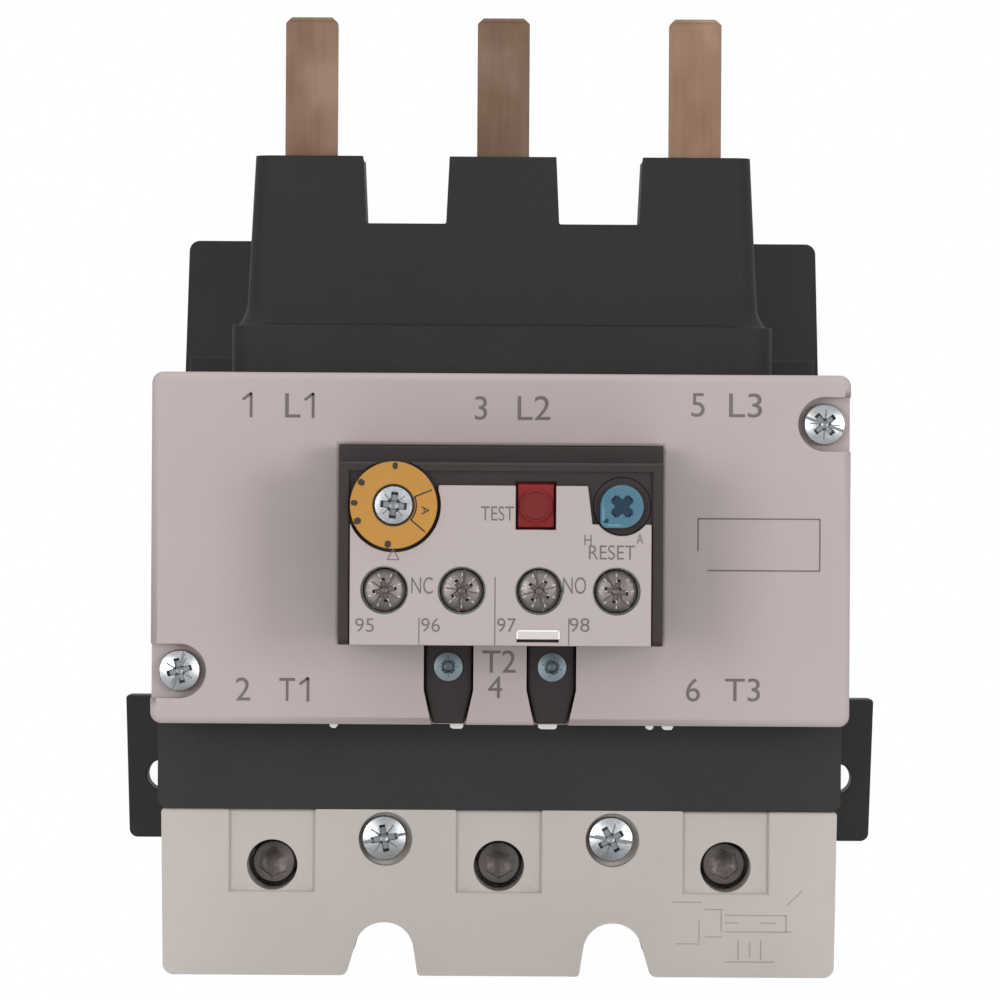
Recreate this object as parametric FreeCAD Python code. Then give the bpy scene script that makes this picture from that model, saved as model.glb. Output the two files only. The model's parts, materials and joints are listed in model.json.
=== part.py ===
import FreeCAD, Part
import math
import os

# Thermal overload relay with three poles, hung on a wall plate by two side ears.
# X runs to the right, Y into the wall and Z up, in millimetres.
# The origin lies halfway between the two mounting holes, on the back plane.

os.makedirs("parts", exist_ok=True)
V = FreeCAD.Vector

# Depths, from the back plane towards the front
base_depth = 18.0
housing_depth = 50.0
cover_depth = 22.0
head_proud = 27.0

# Heights of the main mouldings, from the bottom up
shroud_height = 24.3
band_height = 13.2
cover_height = 50.3
flange_height = 6.9
tower_height = 24.8
prong_reach = 20.6
band_bottom = -2.3
base_bottom = -18.0
base_top = 82.8

# Widths of the main mouldings
housing_width = 100.0
base_width = 97.6
shroud_width = 98.9
shroud_draft = 0.35
flange_width = 77.8
head_width = 45.0
head_flare = 0.4
head_height = 27.8
head_lift = 0.75
head_tail = 2.0
ear_span = 116.4

# Bays in the back of the closed upper part
upper_bays = 7

# Spacing of the poles
prong_pitch = 28.0
terminal_pitch = 33.2

# Walls
base_wall = 2.5
base_rib = 1.6
ledge_depth = 0.8
ledge_height = 3.8
ledge_inset = 0.7
base_draft = 0.6
back_relief = 1.2
tray_floor = 3.0
housing_wall = 2.5
cover_wall = 2.0
shroud_wall = 2.5
head_wall = 1.6
aux_partition_wall = 1.2
partition_wall = 1.6
partition_depth = 31.5

# Clearances
gap = 0.3
fit = 0.05
joint_gap = 0.2

# Ears and mounting holes
ear_depth = 8.0
ear_top = 12.4
ear_height = 22.1
ear_taper = 0.7
ear_radius = 1.3
hole_inset = 5.6
hole_radius = 2.3

# Corner radii
moulding_radius = 1.6
cover_edge = 1.2
tower_radius = 2.6
sweep_radius = 5.4
sweep_steps = 4
sweep_lip = 0.5

# Prong shroud
flange_setback = 6.0
flange_radius = 3.0
flange_depth = 50.0
tower_setback = 6.0
tower_inset = 2.0
tower_depth = 20.0
tower_draft = 1.0
tower_width = 15.4
notch_depth = 9.8
notch_draft = 0.5
notch_radius = 0.3
mouth_margin = 1.6
mouth_depth = 6.0

# Prong bars
prong_width = 7.6
bar_thickness = 3.5
prong_setback = 20.0
riser_front = -49.5
bend_radius = 1.0
level_rise = 1.5
tip_chamfer = 0.9
prong_foot = 38.0

# Bimetal strips and heaters
strip_thickness = 1.2
strip_width = 7.0
strip_front = -43.0
strip_root_rise = 2.1
strip_overreach = 6.0
heater_wall = 1.3
heater_margin = 1.9
heater_depth_margin = 1.6
heater_rise = 4.1
heater_rings = 5
heater_ring_height = 2.2
tab_width = 1.3

# Sliders and differential lever
slider_thickness = 1.5
slider_overhang = 8.0
slider_ear_width = 9.0
slider_rise = 18.1
push_gap = 0.3
trip_travel = 2.0
differential_travel = 0.5
lever_pivot_x = -10.0
lever_pivot_y = -40.0
lever_tail_reach = 12.0
lever_pin_radius = 1.0
lever_hub_radius = 2.4
lever_arm_width = 1.6

# Ambient compensation rocker
rocker_rise = 17.6
rocker_hub_radius = 2.0
rocker_pin_radius = 1.0
rocker_strip_width = 6.0
rocker_strip_thickness = 1.0
rocker_strip_height = 6.5
rocker_strip_lead = 4.0
rocker_arm_depth = 4.0
nose_gap = 2.1

# Contact carrier, bridges and contact bars
carrier_lead = 13.0
carrier_depth = 3.0
carrier_beam_height = 2.2
carrier_beam_rise = 5.3
carrier_overhang = 2.0
carrier_post_width = 2.0
bridge_thickness = 0.8
bridge_width = 4.0
pad_height = 0.6
pad_width = 2.4
contact_gap = 2.1
contact_bar_thickness = 1.2
contact_bar_width = 8.0
contact_bar_rise = 2.5
contact_bar_height = 10.6
contact_bar_setback = 10.0
contact_bar_lead = 8.0

# Auxiliary terminals
aux_pitch = 10.74
aux_screw_rise = 7.6
aux_screw_radius = 1.5
aux_head_radius = 3.1
aux_head_height = 2.4
aux_screw_length = 12.0
aux_nut_wall = 1.2
aux_clamp_width = 7.4
aux_clamp_height = 7.2
aux_clamp_thickness = 1.2
aux_travel = 4.0
aux_wire_left = 1.0
aux_hole_radius = 3.3
entry_width = 5.4

# Dial, adjuster lever and buttons
dial_x = -14.87
control_rise = 19.4
dial_radius = 6.05
dial_thickness = 1.9
dial_shaft_radius = 1.5
dial_insert_radius = 2.75
cam_radius = 2.4
cam_offset = 0.6
cam_length = 5.0
cam_setback = 8.0
adjuster_pivot_x = -2.0
adjuster_pin_radius = 1.0
adjuster_thickness = 3.0
adjuster_arm = 1.6
test_x = 4.85
test_width = 5.0
test_height = 6.0
test_button_radius = 2.2
reset_x = 16.8
reset_radius = 3.95
knob_radius = 3.0
knob_corner = 0.95
reset_travel = 3.0
stem_width = 2.0
knob_stub_radius = 1.2
button_rim = 0.25
button_slack = 0.15
spring_wire = 0.5
spring_radius = 2.0
spring_turns = 4
coil_sides = 10
guide_depth = 1.6
rim_thickness = 1.2
spring_room = 5.5
touch_height = 1.2

# Label plate and head front
label_width = 41.8
label_height = 22.2
label_thickness = 1.4
label_proud = 0.6
label_shoulder = 16.9
dial_slant = 0.2
knob_room = 4.1
knob_slant = 0.65
clip_slot = (2.3, 8.1)
head_step = 17.0
head_step_height = 2.4
lip_height = 1.2
front_wall = 2.0
cross_wall_setback = 25.0

# Tongues and fixing screws
tongue_x = 7.35
tongue_width = 6.7
tongue_thickness = 2.4
tongue_recess = 1.6
head_screw_z = 19.2
post_width = 5.2
cover_screw_places = ((46.3, 54.2), (-45.9, 18.4))
cover_recess_radius = 3.9
cover_recess_depth = 4.0
cover_boss_width = 6.4
shroud_screw_x = 16.6
shroud_screw_z = -6.6
shroud_seat_radius = 3.9
shroud_seat_depth = 2.2
lug_width = 5.0
lug_depth = 30.0
lug_setback = 1.5
lug_room_depth = 9.9

# Main terminals
cage_width = 23.0
cage_wall = 2.2
cage_top = -4.0
cage_bottom = -21.0
cage_front_thickness = 4.0
cage_lead = 3.0
cage_back_thickness = 2.2
wire_room = 13.5
terminal_z = -10.5
clamp_screw_radius = 3.25
clamp_screw_length = 18.8
clamp_socket = 4.0
clamp_socket_depth = 3.5
clamp_travel = 8.0
terminal_bore_radius = 3.7
tube_wall = 1.5
panel_depth = 0.8
panel_width = 12.4
panel_height = 12.0
output_width = 12.0
output_thickness = 4.0
output_front = -40.0
output_foot = -21.0
jog_top = 9.0
jog_bottom = 3.0

# Arches under the terminal barriers
arch_height = 7.8
arch_width = 7.0
arch_shift = 0.1
arch_radius = 4.2
arch_outer_lean = 2.3
arch_inner_lean = 1.2
arch_outer_foot = 1.2
arch_inner_foot = 0.5

# Planes worked out from the sizes above
base_front = -base_depth
housing_front = base_front - housing_depth
cover_front = housing_front - cover_depth
head_front = cover_front - head_proud
prong_front = cover_front + prong_setback
tongue_front = cover_front + tongue_recess
cross_wall_y = head_front + cross_wall_setback
contact_bar_front = head_front + contact_bar_setback
contact_bar_rear = housing_front - contact_bar_lead
carrier_y = housing_front - carrier_lead
rocker_strip_front = housing_front - rocker_strip_lead
lever_nose_reach = lever_pivot_y - housing_front
cover_bottom = band_bottom + band_height
cover_top = cover_bottom + cover_height
flange_top = cover_top + flange_height
tower_top = flange_top + tower_height
prong_tip = tower_top + prong_reach
shroud_bottom = band_bottom - shroud_height
head_bottom = cover_bottom + (cover_height - head_height) / 2 + head_lift
head_top = head_bottom + head_height
control_z = head_bottom + control_rise
aux_screw_z = head_bottom + aux_screw_rise
rocker_z = head_bottom + rocker_rise
rocker_strip_top = rocker_z + rocker_strip_height
carrier_beam_bottom = head_bottom + carrier_beam_rise
contact_bar_foot = head_bottom + contact_bar_rise
contact_bar_top = contact_bar_foot + contact_bar_height
slider_rest = head_bottom + slider_rise
strip_root = cover_bottom + strip_root_rise
strip_tip = slider_rest + strip_overreach
heater_bottom = cover_bottom + heater_rise
floor_top = band_bottom + housing_wall
housing_back = base_front - housing_wall
head_rear = housing_front + head_tail
label_front = head_front - label_proud
label_back = label_front + label_thickness
wall_back = label_back + front_wall
hole_spacing = ear_span - 2 * hole_inset
slider_span = 2 * (prong_pitch + slider_overhang)
poles = (-1, 0, 1)
rocker_x = lever_pivot_x + lever_arm_width / 2 + nose_gap + rocker_strip_thickness / 2
slider_b = (slider_rest, slider_rest + slider_thickness)
slider_a = (slider_b[1] + gap, slider_b[1] + gap + slider_thickness)
lever_z = (slider_a[1] + gap, slider_a[1] + gap + slider_thickness)
output_back = output_front + output_thickness
cage_front = output_front - cage_front_thickness - cage_lead
cage_back = output_back + wire_room + cage_back_thickness
cage_rest = (cage_front, cage_back)
aux_clamp_back = contact_bar_front - aux_travel - aux_wire_left
aux_clamp_front = aux_clamp_back - aux_clamp_thickness
aux_places = {"95": -1.5, "96": -0.5, "97": 0.5, "98": 1.5}
cam_front = wall_back + cam_setback
rim_back = wall_back + gap + rim_thickness
guide_y = rim_back + reset_travel + spring_room


def box(x, y, z):
    """A block between three pairs of limits."""
    return Part.makeBox(x[1] - x[0], y[1] - y[0], z[1] - z[0], V(x[0], y[0], z[0]))


def around(middle, width):
    """The limits of a width about its middle."""
    return (middle - width / 2, middle + width / 2)


def place(plane, u, v, depth):
    """A point of a drawing plane, put in space."""
    if plane == "XZ":
        return V(u, depth, v)
    if plane == "YZ":
        return V(depth, u, v)
    return V(u, v, depth)


def rod(plane, centre, radius, limits):
    """A round rod that stands across a drawing plane."""
    foot = place(plane, centre[0], centre[1], limits[0])
    return Part.makeCylinder(radius, limits[1] - limits[0], foot, place(plane, 0, 0, 1))


def corner_points(before, corner, after):
    """One point of an outline, or the start, middle and end of its round."""
    radius = corner[2] if len(corner) > 2 else 0
    if not radius:
        return [corner[:2]]
    here = V(corner[0], corner[1], 0)
    back = (V(before[0], before[1], 0) - here).normalize()
    ahead = (V(after[0], after[1], 0) - here).normalize()
    half = back.getAngle(ahead) / 2
    inwards = (back + ahead).normalize()
    run = radius / math.tan(half)
    middle = here + inwards * (radius / math.sin(half) - radius)
    ends = (here + back * run, middle, here + ahead * run)
    return [(point.x, point.y) for point in ends]


def prism(plane, corners, limits):
    """An outline of (u, v, radius) corners, pushed across its plane."""
    count = len(corners)
    rounds = [corner_points(corners[i - 1], corners[i], corners[(i + 1) % count]) for i in range(count)]
    edges = []
    for i in range(count):
        here = [place(plane, u, v, limits[0]) for u, v in rounds[i]]
        if len(here) == 3:
            edges.append(Part.Arc(*here).toShape())
        u, v = rounds[(i + 1) % count][0]
        target = place(plane, u, v, limits[0])
        if here[-1].distanceToPoint(target) > 1e-6:
            edges.append(Part.LineSegment(here[-1], target).toShape())
    face = Part.Face(Part.Wire(edges))
    return face.extrude(place(plane, 0, 0, limits[1] - limits[0]))


def rounded(plane, u, v, limits, radius):
    """A rectangle with four round corners, pushed across its plane."""
    corners = [(u[0], v[0], radius), (u[1], v[0], radius), (u[1], v[1], radius), (u[0], v[1], radius)]
    return prism(plane, corners, limits)


def fuse(shapes):
    """One solid from several that touch."""
    return shapes[0].multiFuse(shapes[1:]).removeSplitter()


def cut(shape, tools):
    """A shape less a list of others."""
    return shape.cut(Part.makeCompound(tools))


def front_edges(shape, depth):
    """The edges that lie in one plane across Y."""
    found = []
    for edge in shape.Edges:
        bounds = edge.BoundBox
        if abs(bounds.YMin - depth) < 1e-4 and abs(bounds.YMax - depth) < 1e-4:
            found.append(edge)
    return found


def mirrored(shape):
    """The same shape on the other side of the middle plane."""
    return shape.mirror(V(0, 0, 0), V(1, 0, 0))


def both_sides(shape):
    return [shape, mirrored(shape)]


def export(name, shape):
    shape.exportStep("parts/" + name + ".step")


def base_housing():
    """Wall tray with the mounting ears and the closed part behind the prongs."""
    half = base_width / 2
    outline = [
        (-half, base_bottom, moulding_radius), (half, base_bottom, moulding_radius), (half, cover_top),
        (half - base_draft, base_top, moulding_radius), (base_draft - half, base_top, moulding_radius),
        (-half, cover_top),
    ]
    body = prism("XZ", outline, (base_front, 0))
    reach = ear_span / 2
    ear_bottom = ear_top - ear_height
    ears = [
        (reach, ear_top), (reach - ear_taper, ear_bottom, ear_radius),
        (ear_taper - reach, ear_bottom, ear_radius), (-reach, ear_top),
    ]
    ledge_z = (cover_top + joint_gap, cover_top + ledge_height)
    ledge_x = (ledge_inset - half, half - ledge_inset)
    ledge = box(ledge_x, (base_front - ledge_depth, base_front), ledge_z)
    body = fuse([body, prism("XZ", ears, (-ear_depth, 0)), ledge])
    inner = half - base_wall
    tray = box((-inner, inner), (base_front, -tray_floor), (base_bottom + base_wall, cover_top - base_wall))
    cuts = [tray]
    upper = (cover_top + base_wall, base_top - base_wall)
    upper_bay = (2 * inner - (upper_bays - 1) * base_rib) / upper_bays
    for i in range(upper_bays):
        middle = (i - (upper_bays - 1) / 2) * (upper_bay + base_rib)
        cuts.append(box(around(middle, upper_bay), (base_front + base_wall, 0), upper))
    bay = (2 * inner - 2 * base_wall) / 3
    lower = (base_bottom + 2 * base_wall, cover_top - 2 * base_wall)
    for pole in poles:
        middle = pole * (bay + base_wall)
        cuts.append(box(around(middle, bay), (-back_relief, 0), lower))
    for side in (-1, 1):
        cuts.append(rod("XZ", (side * hole_spacing / 2, 0), hole_radius, (-ear_depth, 0)))
    return cut(body, cuts)


def boss(x, z, width, front):
    """A moulded column that a fixing screw goes into."""
    return box(around(x, width), (front, housing_back + 1), around(z, width))


def main_housing():
    """Box round the bimetals, open in front above its band."""
    half = housing_width / 2
    inner = half - housing_wall
    band_inner = cover_bottom + housing_wall
    top_inner = cover_top - housing_wall
    height = (band_bottom, cover_top)
    body = rounded("XZ", (-half, half), height, (housing_front, base_front), moulding_radius)
    room = box((-inner, inner), (housing_front + housing_wall, housing_back), (floor_top, top_inner))
    window = box((-inner, inner), (housing_front, housing_back), (band_inner, top_inner))
    body = cut(body, [room, window])
    adds = []
    cuts = []
    partition_top = slider_b[0] - gap
    for side in (-1, 1):
        walls = around(side * prong_pitch / 2, partition_wall)
        adds.append(box(walls, (housing_back - partition_depth, housing_back), (floor_top, partition_top)))
        adds.append(boss(side * tongue_x, head_screw_z, post_width, tongue_front + tongue_thickness))
        lug_front = housing_front + shroud_wall + lug_setback
        lug_z = (shroud_screw_z - lug_width / 2, band_bottom)
        adds.append(box(around(side * shroud_screw_x, lug_width), (lug_front, lug_front + lug_depth), lug_z))
    for x, z in cover_screw_places:
        column = boss(x, z, cover_boss_width, cover_front + cover_recess_depth + cover_wall)
        limit = box((-half, half), (cover_front, 0), (cover_bottom, cover_top))
        shell_room = box((-half + cover_wall + gap, half - cover_wall - gap), (cover_front, 0),
                         (cover_bottom, cover_top))
        adds.append(column.common(limit).common(shell_room))
    for pole in poles:
        riser = around(riser_front + bar_thickness / 2, bar_thickness + 2 * gap)
        cuts.append(box(around(pole * prong_pitch, prong_width + 2 * gap), riser, (top_inner, cover_top)))
        slot = (output_front - gap, output_back + gap)
        slot_x = around(pole * terminal_pitch, output_width + 2 * gap)
        cuts.append(box(slot_x, slot, (band_bottom, floor_top)))
    return cut(fuse([body] + adds), cuts)


def tongue_outline(clearance):
    """Front view of a head tongue, straight and then tapered to the cover's lower edge."""
    half = tongue_width / 2 + clearance
    straight_end = head_bottom - 7.0
    return [
        (tongue_x - half, head_bottom + clearance),
        (tongue_x - half, straight_end),
        (tongue_x - half + 1.1, cover_bottom + joint_gap - clearance),
        (tongue_x + half - 1.1, cover_bottom + joint_gap - clearance),
        (tongue_x + half, straight_end),
        (tongue_x + half, head_bottom + clearance),
    ]


def front_cover():
    """Light shell over the mechanism, with the head's window and the screw recesses."""
    half = housing_width / 2
    inner = half - cover_wall
    height = (cover_bottom, cover_top)
    body = rounded("XZ", (-half, half), height, (cover_front, housing_front), moulding_radius)
    body = body.makeFillet(cover_edge, front_edges(body, cover_front))
    room = (cover_bottom + cover_wall, cover_top - cover_wall)
    shell = body.cut(box((-inner, inner), (cover_front + cover_wall, housing_front), room))
    pockets = []
    recesses = []
    floor_y = cover_front + cover_recess_depth
    for x, z in cover_screw_places:
        side = math.copysign(half, x)
        span = (min(x, side), max(x, side))
        cup_reach = cover_recess_radius + cover_wall
        cup_x = (min(x - cup_reach, side), max(x + cup_reach, side))
        cup = box(cup_x, (cover_front, floor_y + cover_wall), around(z, 2 * cup_reach))
        pockets.append(cup.common(body))
        hollow = rod("XZ", (x, z), cover_recess_radius, (cover_front, floor_y))
        mouth = box(span, (cover_front, floor_y), around(z, 2 * cover_recess_radius))
        recesses.append(hollow.fuse(mouth))
    window_x = around(0, head_width + 2 * head_flare + 2 * joint_gap)
    window_z = (head_bottom - joint_gap, head_top + joint_gap)
    recesses.append(box(window_x, (cover_front, cover_front + cover_wall), window_z))
    slot = prism("XZ", tongue_outline(joint_gap), (cover_front, tongue_front + tongue_thickness + gap))
    recesses += both_sides(slot)
    return cut(fuse([shell] + pockets), recesses)


def arch():
    """Opening under one terminal barrier, round at its top and at its feet."""
    below = shroud_bottom - 1
    top = shroud_bottom + arch_height
    middle = arch_shift - terminal_pitch / 2
    outer = middle - arch_width / 2
    inner = middle + arch_width / 2
    outer_foot = outer - arch_outer_lean
    inner_foot = inner + arch_inner_lean
    return [
        (outer_foot - 2 * arch_outer_foot, below), (outer_foot - 2 * arch_outer_foot, shroud_bottom),
        (outer_foot, shroud_bottom, arch_outer_foot), (outer, top, arch_radius), (inner, top, arch_radius),
        (inner_foot, shroud_bottom, arch_inner_foot), (inner_foot + 2 * arch_inner_foot, shroud_bottom),
        (inner_foot + 2 * arch_inner_foot, below),
    ]


def terminal_shroud():
    """Lower moulding round the three main terminals, open below."""
    half = shroud_width / 2
    height = (shroud_bottom, band_bottom)
    front = housing_front
    low_half = half - shroud_draft
    outline = [(-low_half, height[0], moulding_radius), (low_half, height[0], moulding_radius)]
    outline += [(half, height[1]), (-half, height[1])]
    body = prism("XZ", outline, (front, base_front))
    through = (height[0] - 1, height[1] + 1)
    pockets = []
    tubes = []
    cuts = []
    pocket_width = cage_width + 2 * gap
    pocket_back = cage_back + gap
    tube_end = cage_front - clamp_travel - 1.0
    for pole in poles:
        x = pole * terminal_pitch
        pockets.append(box(around(x, pocket_width), (front + shroud_wall, pocket_back), through))
        tube_width = 2 * (terminal_bore_radius + tube_wall)
        tubes.append(box(around(x, tube_width), (front + 1, tube_end), around(terminal_z, tube_width)))
        cuts.append(rod("XZ", (x, terminal_z), terminal_bore_radius, (front, tube_end)))
        panel = (band_bottom - panel_height, band_bottom)
        cuts.append(box(around(x, panel_width), (front, front + panel_depth), panel))
    for side in (-1, 1):
        x = side * shroud_screw_x
        hollow_width = terminal_pitch - pocket_width - 2 * tube_wall
        lug_room = (front + shroud_wall + lug_setback - gap, pocket_back)
        pockets.append(box(around(x, hollow_width), lug_room, (shroud_screw_z - lug_room_depth, band_bottom)))
        cuts.append(rod("XZ", (x, shroud_screw_z), shroud_seat_radius, (front, front + shroud_seat_depth)))
    arch_cut = prism("XZ", arch(), (front, base_front))
    body = cut(body, pockets)
    return cut(fuse([body] + tubes), cuts + both_sides(arch_cut))


def plan_outline(half, depth, z, radius):
    """A rectangle with round corners, seen from above, as a closed wire."""
    block = rounded("XY", (-half, half), depth, (z, z + 1), radius)
    lowest = min(block.Faces, key=lambda face: face.BoundBox.ZMax)
    return lowest.OuterWire


def tower_block(front, foot_half):
    """Drafted block of the towers, swept outwards where it meets the flange."""
    depth = (front + tower_setback, front + tower_setback + tower_depth)
    top_depth = (depth[0] + 1.5 * tower_draft, depth[1] - tower_draft)
    turn = math.acos(1 - (tower_inset - sweep_lip) / sweep_radius)
    wires = [plan_outline(foot_half - tower_draft, top_depth, tower_top, tower_radius)]
    for i in range(sweep_steps + 1):
        angle = turn * i / sweep_steps
        spread = sweep_radius * (1 - math.cos(angle))
        z = flange_top + sweep_radius * (math.sin(turn) - math.sin(angle))
        swept = (depth[0] - spread, depth[1] + spread)
        wires.append(plan_outline(foot_half + spread, swept, z, tower_radius + spread))
    return Part.makeLoft(wires, True, True)


def prong_shroud():
    """Three drafted towers on a flange, with a concave sweep round their foot."""
    front = cover_front + flange_setback
    half = flange_width / 2
    flange_z = (cover_top, flange_top)
    flange = rounded("XY", (-half, half), (front, front + flange_depth), flange_z, flange_radius)
    towers = tower_block(front, half - tower_inset)
    body = fuse([flange, towers])
    cuts = []
    deep = (front - 1, front + flange_depth + 1)
    inner_edge = tower_width / 2
    outer_edge = prong_pitch - tower_width / 2
    notch = [
        (inner_edge, tower_top + 1), (inner_edge + notch_draft, tower_top - notch_depth, notch_radius),
        (outer_edge - notch_draft, tower_top - notch_depth, notch_radius), (outer_edge, tower_top + 1),
    ]
    cuts += both_sides(prism("XZ", notch, deep))
    bar_back = prong_front + bar_thickness
    riser_back = riser_front + bar_thickness
    for pole in poles:
        x = around(pole * prong_pitch, prong_width + 2 * gap)
        cuts.append(box(x, (prong_front - gap, bar_back + gap), (cover_top, tower_top + 1)))
        channel_top = cover_top + level_rise + bar_thickness + gap
        cuts.append(box(x, (prong_front - gap, riser_back + gap), (cover_top, channel_top)))
        mouth_x = around(pole * prong_pitch, prong_width + 2 * mouth_margin)
        mouth_y = (prong_front - mouth_margin, bar_back + mouth_margin)
        cuts.append(box(mouth_x, mouth_y, (tower_top - mouth_depth, tower_top + 1)))
    return cut(body, cuts)


def head_side_profile():
    """Side view of the trip head, with the set-back step at its top."""
    step_y = head_front + head_step
    return [
        (head_front, head_bottom, 0.8), (head_front, head_top - head_step_height, 0.8),
        (step_y, head_top - head_step_height), (step_y, head_top, 0.6),
        (head_rear, head_top), (head_rear, head_bottom),
    ]


def head_housing():
    """Trip head box: controls above, auxiliary terminals below, mechanism room behind."""
    half = head_width / 2
    inner = half - head_wall
    rear_half = half + head_flare
    rear_y = (head_front + head_step, head_rear)
    body = prism("YZ", head_side_profile(), (-half, half))
    body = body.fuse(box((-rear_half, rear_half), rear_y, (head_bottom, head_top)))
    low = head_bottom + head_wall
    front_top = head_top - head_step_height - head_wall
    cross_back = cross_wall_y + 2.0
    front_room = box((-inner, inner), (wall_back, cross_wall_y), (low, front_top))
    rear_room = box((-inner, inner), (cross_back, head_rear), (low, head_top - head_wall))
    label_x = around(0, label_width + 2 * joint_gap)
    label_seat_z = (head_bottom - 1, head_top - head_step_height - lip_height)
    label_seat = box(label_x, (head_front, label_back), label_seat_z)
    body = cut(body, [front_room, rear_room, label_seat])
    adds = []
    for i in (-1, 0, 1):
        partition_z = (low - 0.5, contact_bar_top + 0.6)
        partition_y = (wall_back - 0.5, cross_wall_y + 0.5)
        adds.append(box(around(i * aux_pitch, aux_partition_wall), partition_y, partition_z))
    guide = (guide_y, guide_y + guide_depth)
    adds.append(box((0.6, inner + 0.5), guide, (contact_bar_top + 1.0, front_top + 0.5)))
    tongue = prism("XZ", tongue_outline(0), (tongue_front, tongue_front + tongue_thickness))
    adds += both_sides(tongue)
    adjuster_z = control_z - cam_radius + cam_offset - gap - adjuster_arm / 2
    adjuster_pin_y = (cam_front, cross_wall_y + 1)
    adds.append(rod("XZ", (adjuster_pivot_x, adjuster_z), adjuster_pin_radius, adjuster_pin_y))
    body = fuse([body] + adds)
    cuts = [rod("XZ", (dial_x, control_z), dial_shaft_radius + fit, (head_front - 1, wall_back))]
    cuts.append(rod("XZ", (dial_x, control_z), dial_radius + gap, (head_front - 1, label_back)))
    test_hole = box(around(test_x, test_width + 2 * gap), (head_front - 1, wall_back),
                    around(control_z, test_height + 2 * gap))
    cuts.append(test_hole)
    cuts.append(rod("XZ", (reset_x, control_z), reset_radius + fit, (head_front - 1, wall_back)))
    for x in (test_x, reset_x):
        cuts.append(box(around(x, stem_width + 2 * fit), guide, around(control_z, stem_width + 2 * fit)))
    for offset in aux_places.values():
        x = offset * aux_pitch
        cuts.append(rod("XZ", (x, aux_screw_z), aux_hole_radius, (head_front - 1, wall_back)))
        wire = (aux_clamp_back, contact_bar_front)
        cuts.append(box(around(x, entry_width), wire, (head_bottom, low)))
        bar_slot = (contact_bar_top - contact_bar_thickness - gap, contact_bar_top + gap)
        cuts.append(box(around(x, contact_bar_width + 2 * gap), (cross_wall_y, cross_back), bar_slot))
    cuts.append(rod("XZ", (rocker_x, rocker_z), rocker_pin_radius, (cross_wall_y, cross_back)))
    return cut(body, cuts)


def label_plate():
    """Face plate cut away round the dial, the test button and the reset knob."""
    half = label_width / 2
    shoulder = head_bottom + label_shoulder
    top = head_bottom + label_height
    left = dial_x + dial_radius
    right = reset_x - knob_room
    outline = [
        (-half, head_bottom), (half, head_bottom), (half, shoulder), (right, shoulder),
        (right - knob_slant, top), (left + dial_slant, top), (left - dial_slant, shoulder), (-half, shoulder),
    ]
    plate = prism("XZ", outline, (label_front, label_back))
    deep = (label_front, label_back)
    cuts = [rod("XZ", (dial_x, control_z), dial_radius + 0.5, deep)]
    cuts.append(rod("XZ", (reset_x, control_z), reset_radius + button_slack, deep))
    test_z = (control_z - test_height / 2 - gap, top + 1)
    cuts.append(box(around(test_x, test_width + 2 * gap), deep, test_z))
    for offset in aux_places.values():
        cuts.append(rod("XZ", (offset * aux_pitch, aux_screw_z), aux_hole_radius, deep))
    cuts.append(box(clip_slot, deep, (head_bottom + 0.5, head_bottom + 0.9)))
    return cut(plate, cuts)


def prong_bar(pole):
    """Copper bar bent from the prong back to the riser above the heater."""
    outer = bend_radius + bar_thickness
    level_bottom = cover_top + level_rise
    level_top = level_bottom + bar_thickness
    bar_back = prong_front + bar_thickness
    riser_back = riser_front + bar_thickness
    side = [
        (prong_front, prong_tip, tip_chamfer), (prong_front, level_bottom, outer),
        (riser_front, level_bottom, bend_radius), (riser_front, prong_foot),
        (riser_back, prong_foot), (riser_back, level_top, outer),
        (bar_back, level_top, bend_radius), (bar_back, prong_tip, tip_chamfer),
    ]
    x = pole * prong_pitch
    half = prong_width / 2
    bar = prism("YZ", side, (x - half, x + half))
    front = [
        (x - half, prong_foot - 1), (x + half, prong_foot - 1), (x + half, prong_tip - tip_chamfer),
        (x + half - tip_chamfer, prong_tip), (x - half + tip_chamfer, prong_tip),
        (x - half, prong_tip - tip_chamfer),
    ]
    return bar.common(prism("XZ", front, (prong_front - 1, riser_back + 1)))


def heater(pole):
    """Heater winding: flat rings round the strip, joined in turn front and back."""
    x = pole * prong_pitch
    inner_half = strip_thickness / 2 + heater_margin
    outer_half = inner_half + heater_wall
    front = strip_front - heater_depth_margin
    back = strip_front + strip_width + heater_depth_margin
    pitch = (prong_foot - heater_bottom - heater_ring_height) / (heater_rings - 1)
    pieces = []
    for i in range(heater_rings):
        z = (heater_bottom + i * pitch, heater_bottom + i * pitch + heater_ring_height)
        ring = box((x - outer_half, x + outer_half), (front - heater_wall, back + heater_wall), z)
        pieces.append(ring.cut(box((x - inner_half, x + inner_half), (front, back), z)))
        if i:
            link_z = (z[0] - pitch + heater_ring_height, z[0])
            link_y = (front - heater_wall, front) if i % 2 else (back, back + heater_wall)
            pieces.append(box((x - outer_half, x + outer_half), link_y, link_z))
    return fuse(pieces)


def output_bar(pole):
    """Terminal bar with the two tabs that carry the heater, jogged to the terminal pitch."""
    top_x = pole * prong_pitch
    low_x = pole * terminal_pitch
    half = output_width / 2
    top = strip_root
    outline = [
        (top_x - half, top, 0.8), (top_x - half, jog_top), (low_x - half, jog_bottom),
        (low_x - half, output_foot, 1.0), (low_x + half, output_foot, 1.0), (low_x + half, jog_bottom),
        (top_x + half, jog_top), (top_x + half, top, 0.8),
    ]
    bar = prism("XZ", outline, (output_front, output_back))
    inner_half = strip_thickness / 2 + heater_margin
    tabs = []
    for side in (-1, 1):
        middle = top_x + side * (inner_half + tab_width / 2)
        tabs.append(box(around(middle, tab_width), (output_front, output_back), (top - 0.5, heater_bottom)))
    return fuse([bar] + tabs)


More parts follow.
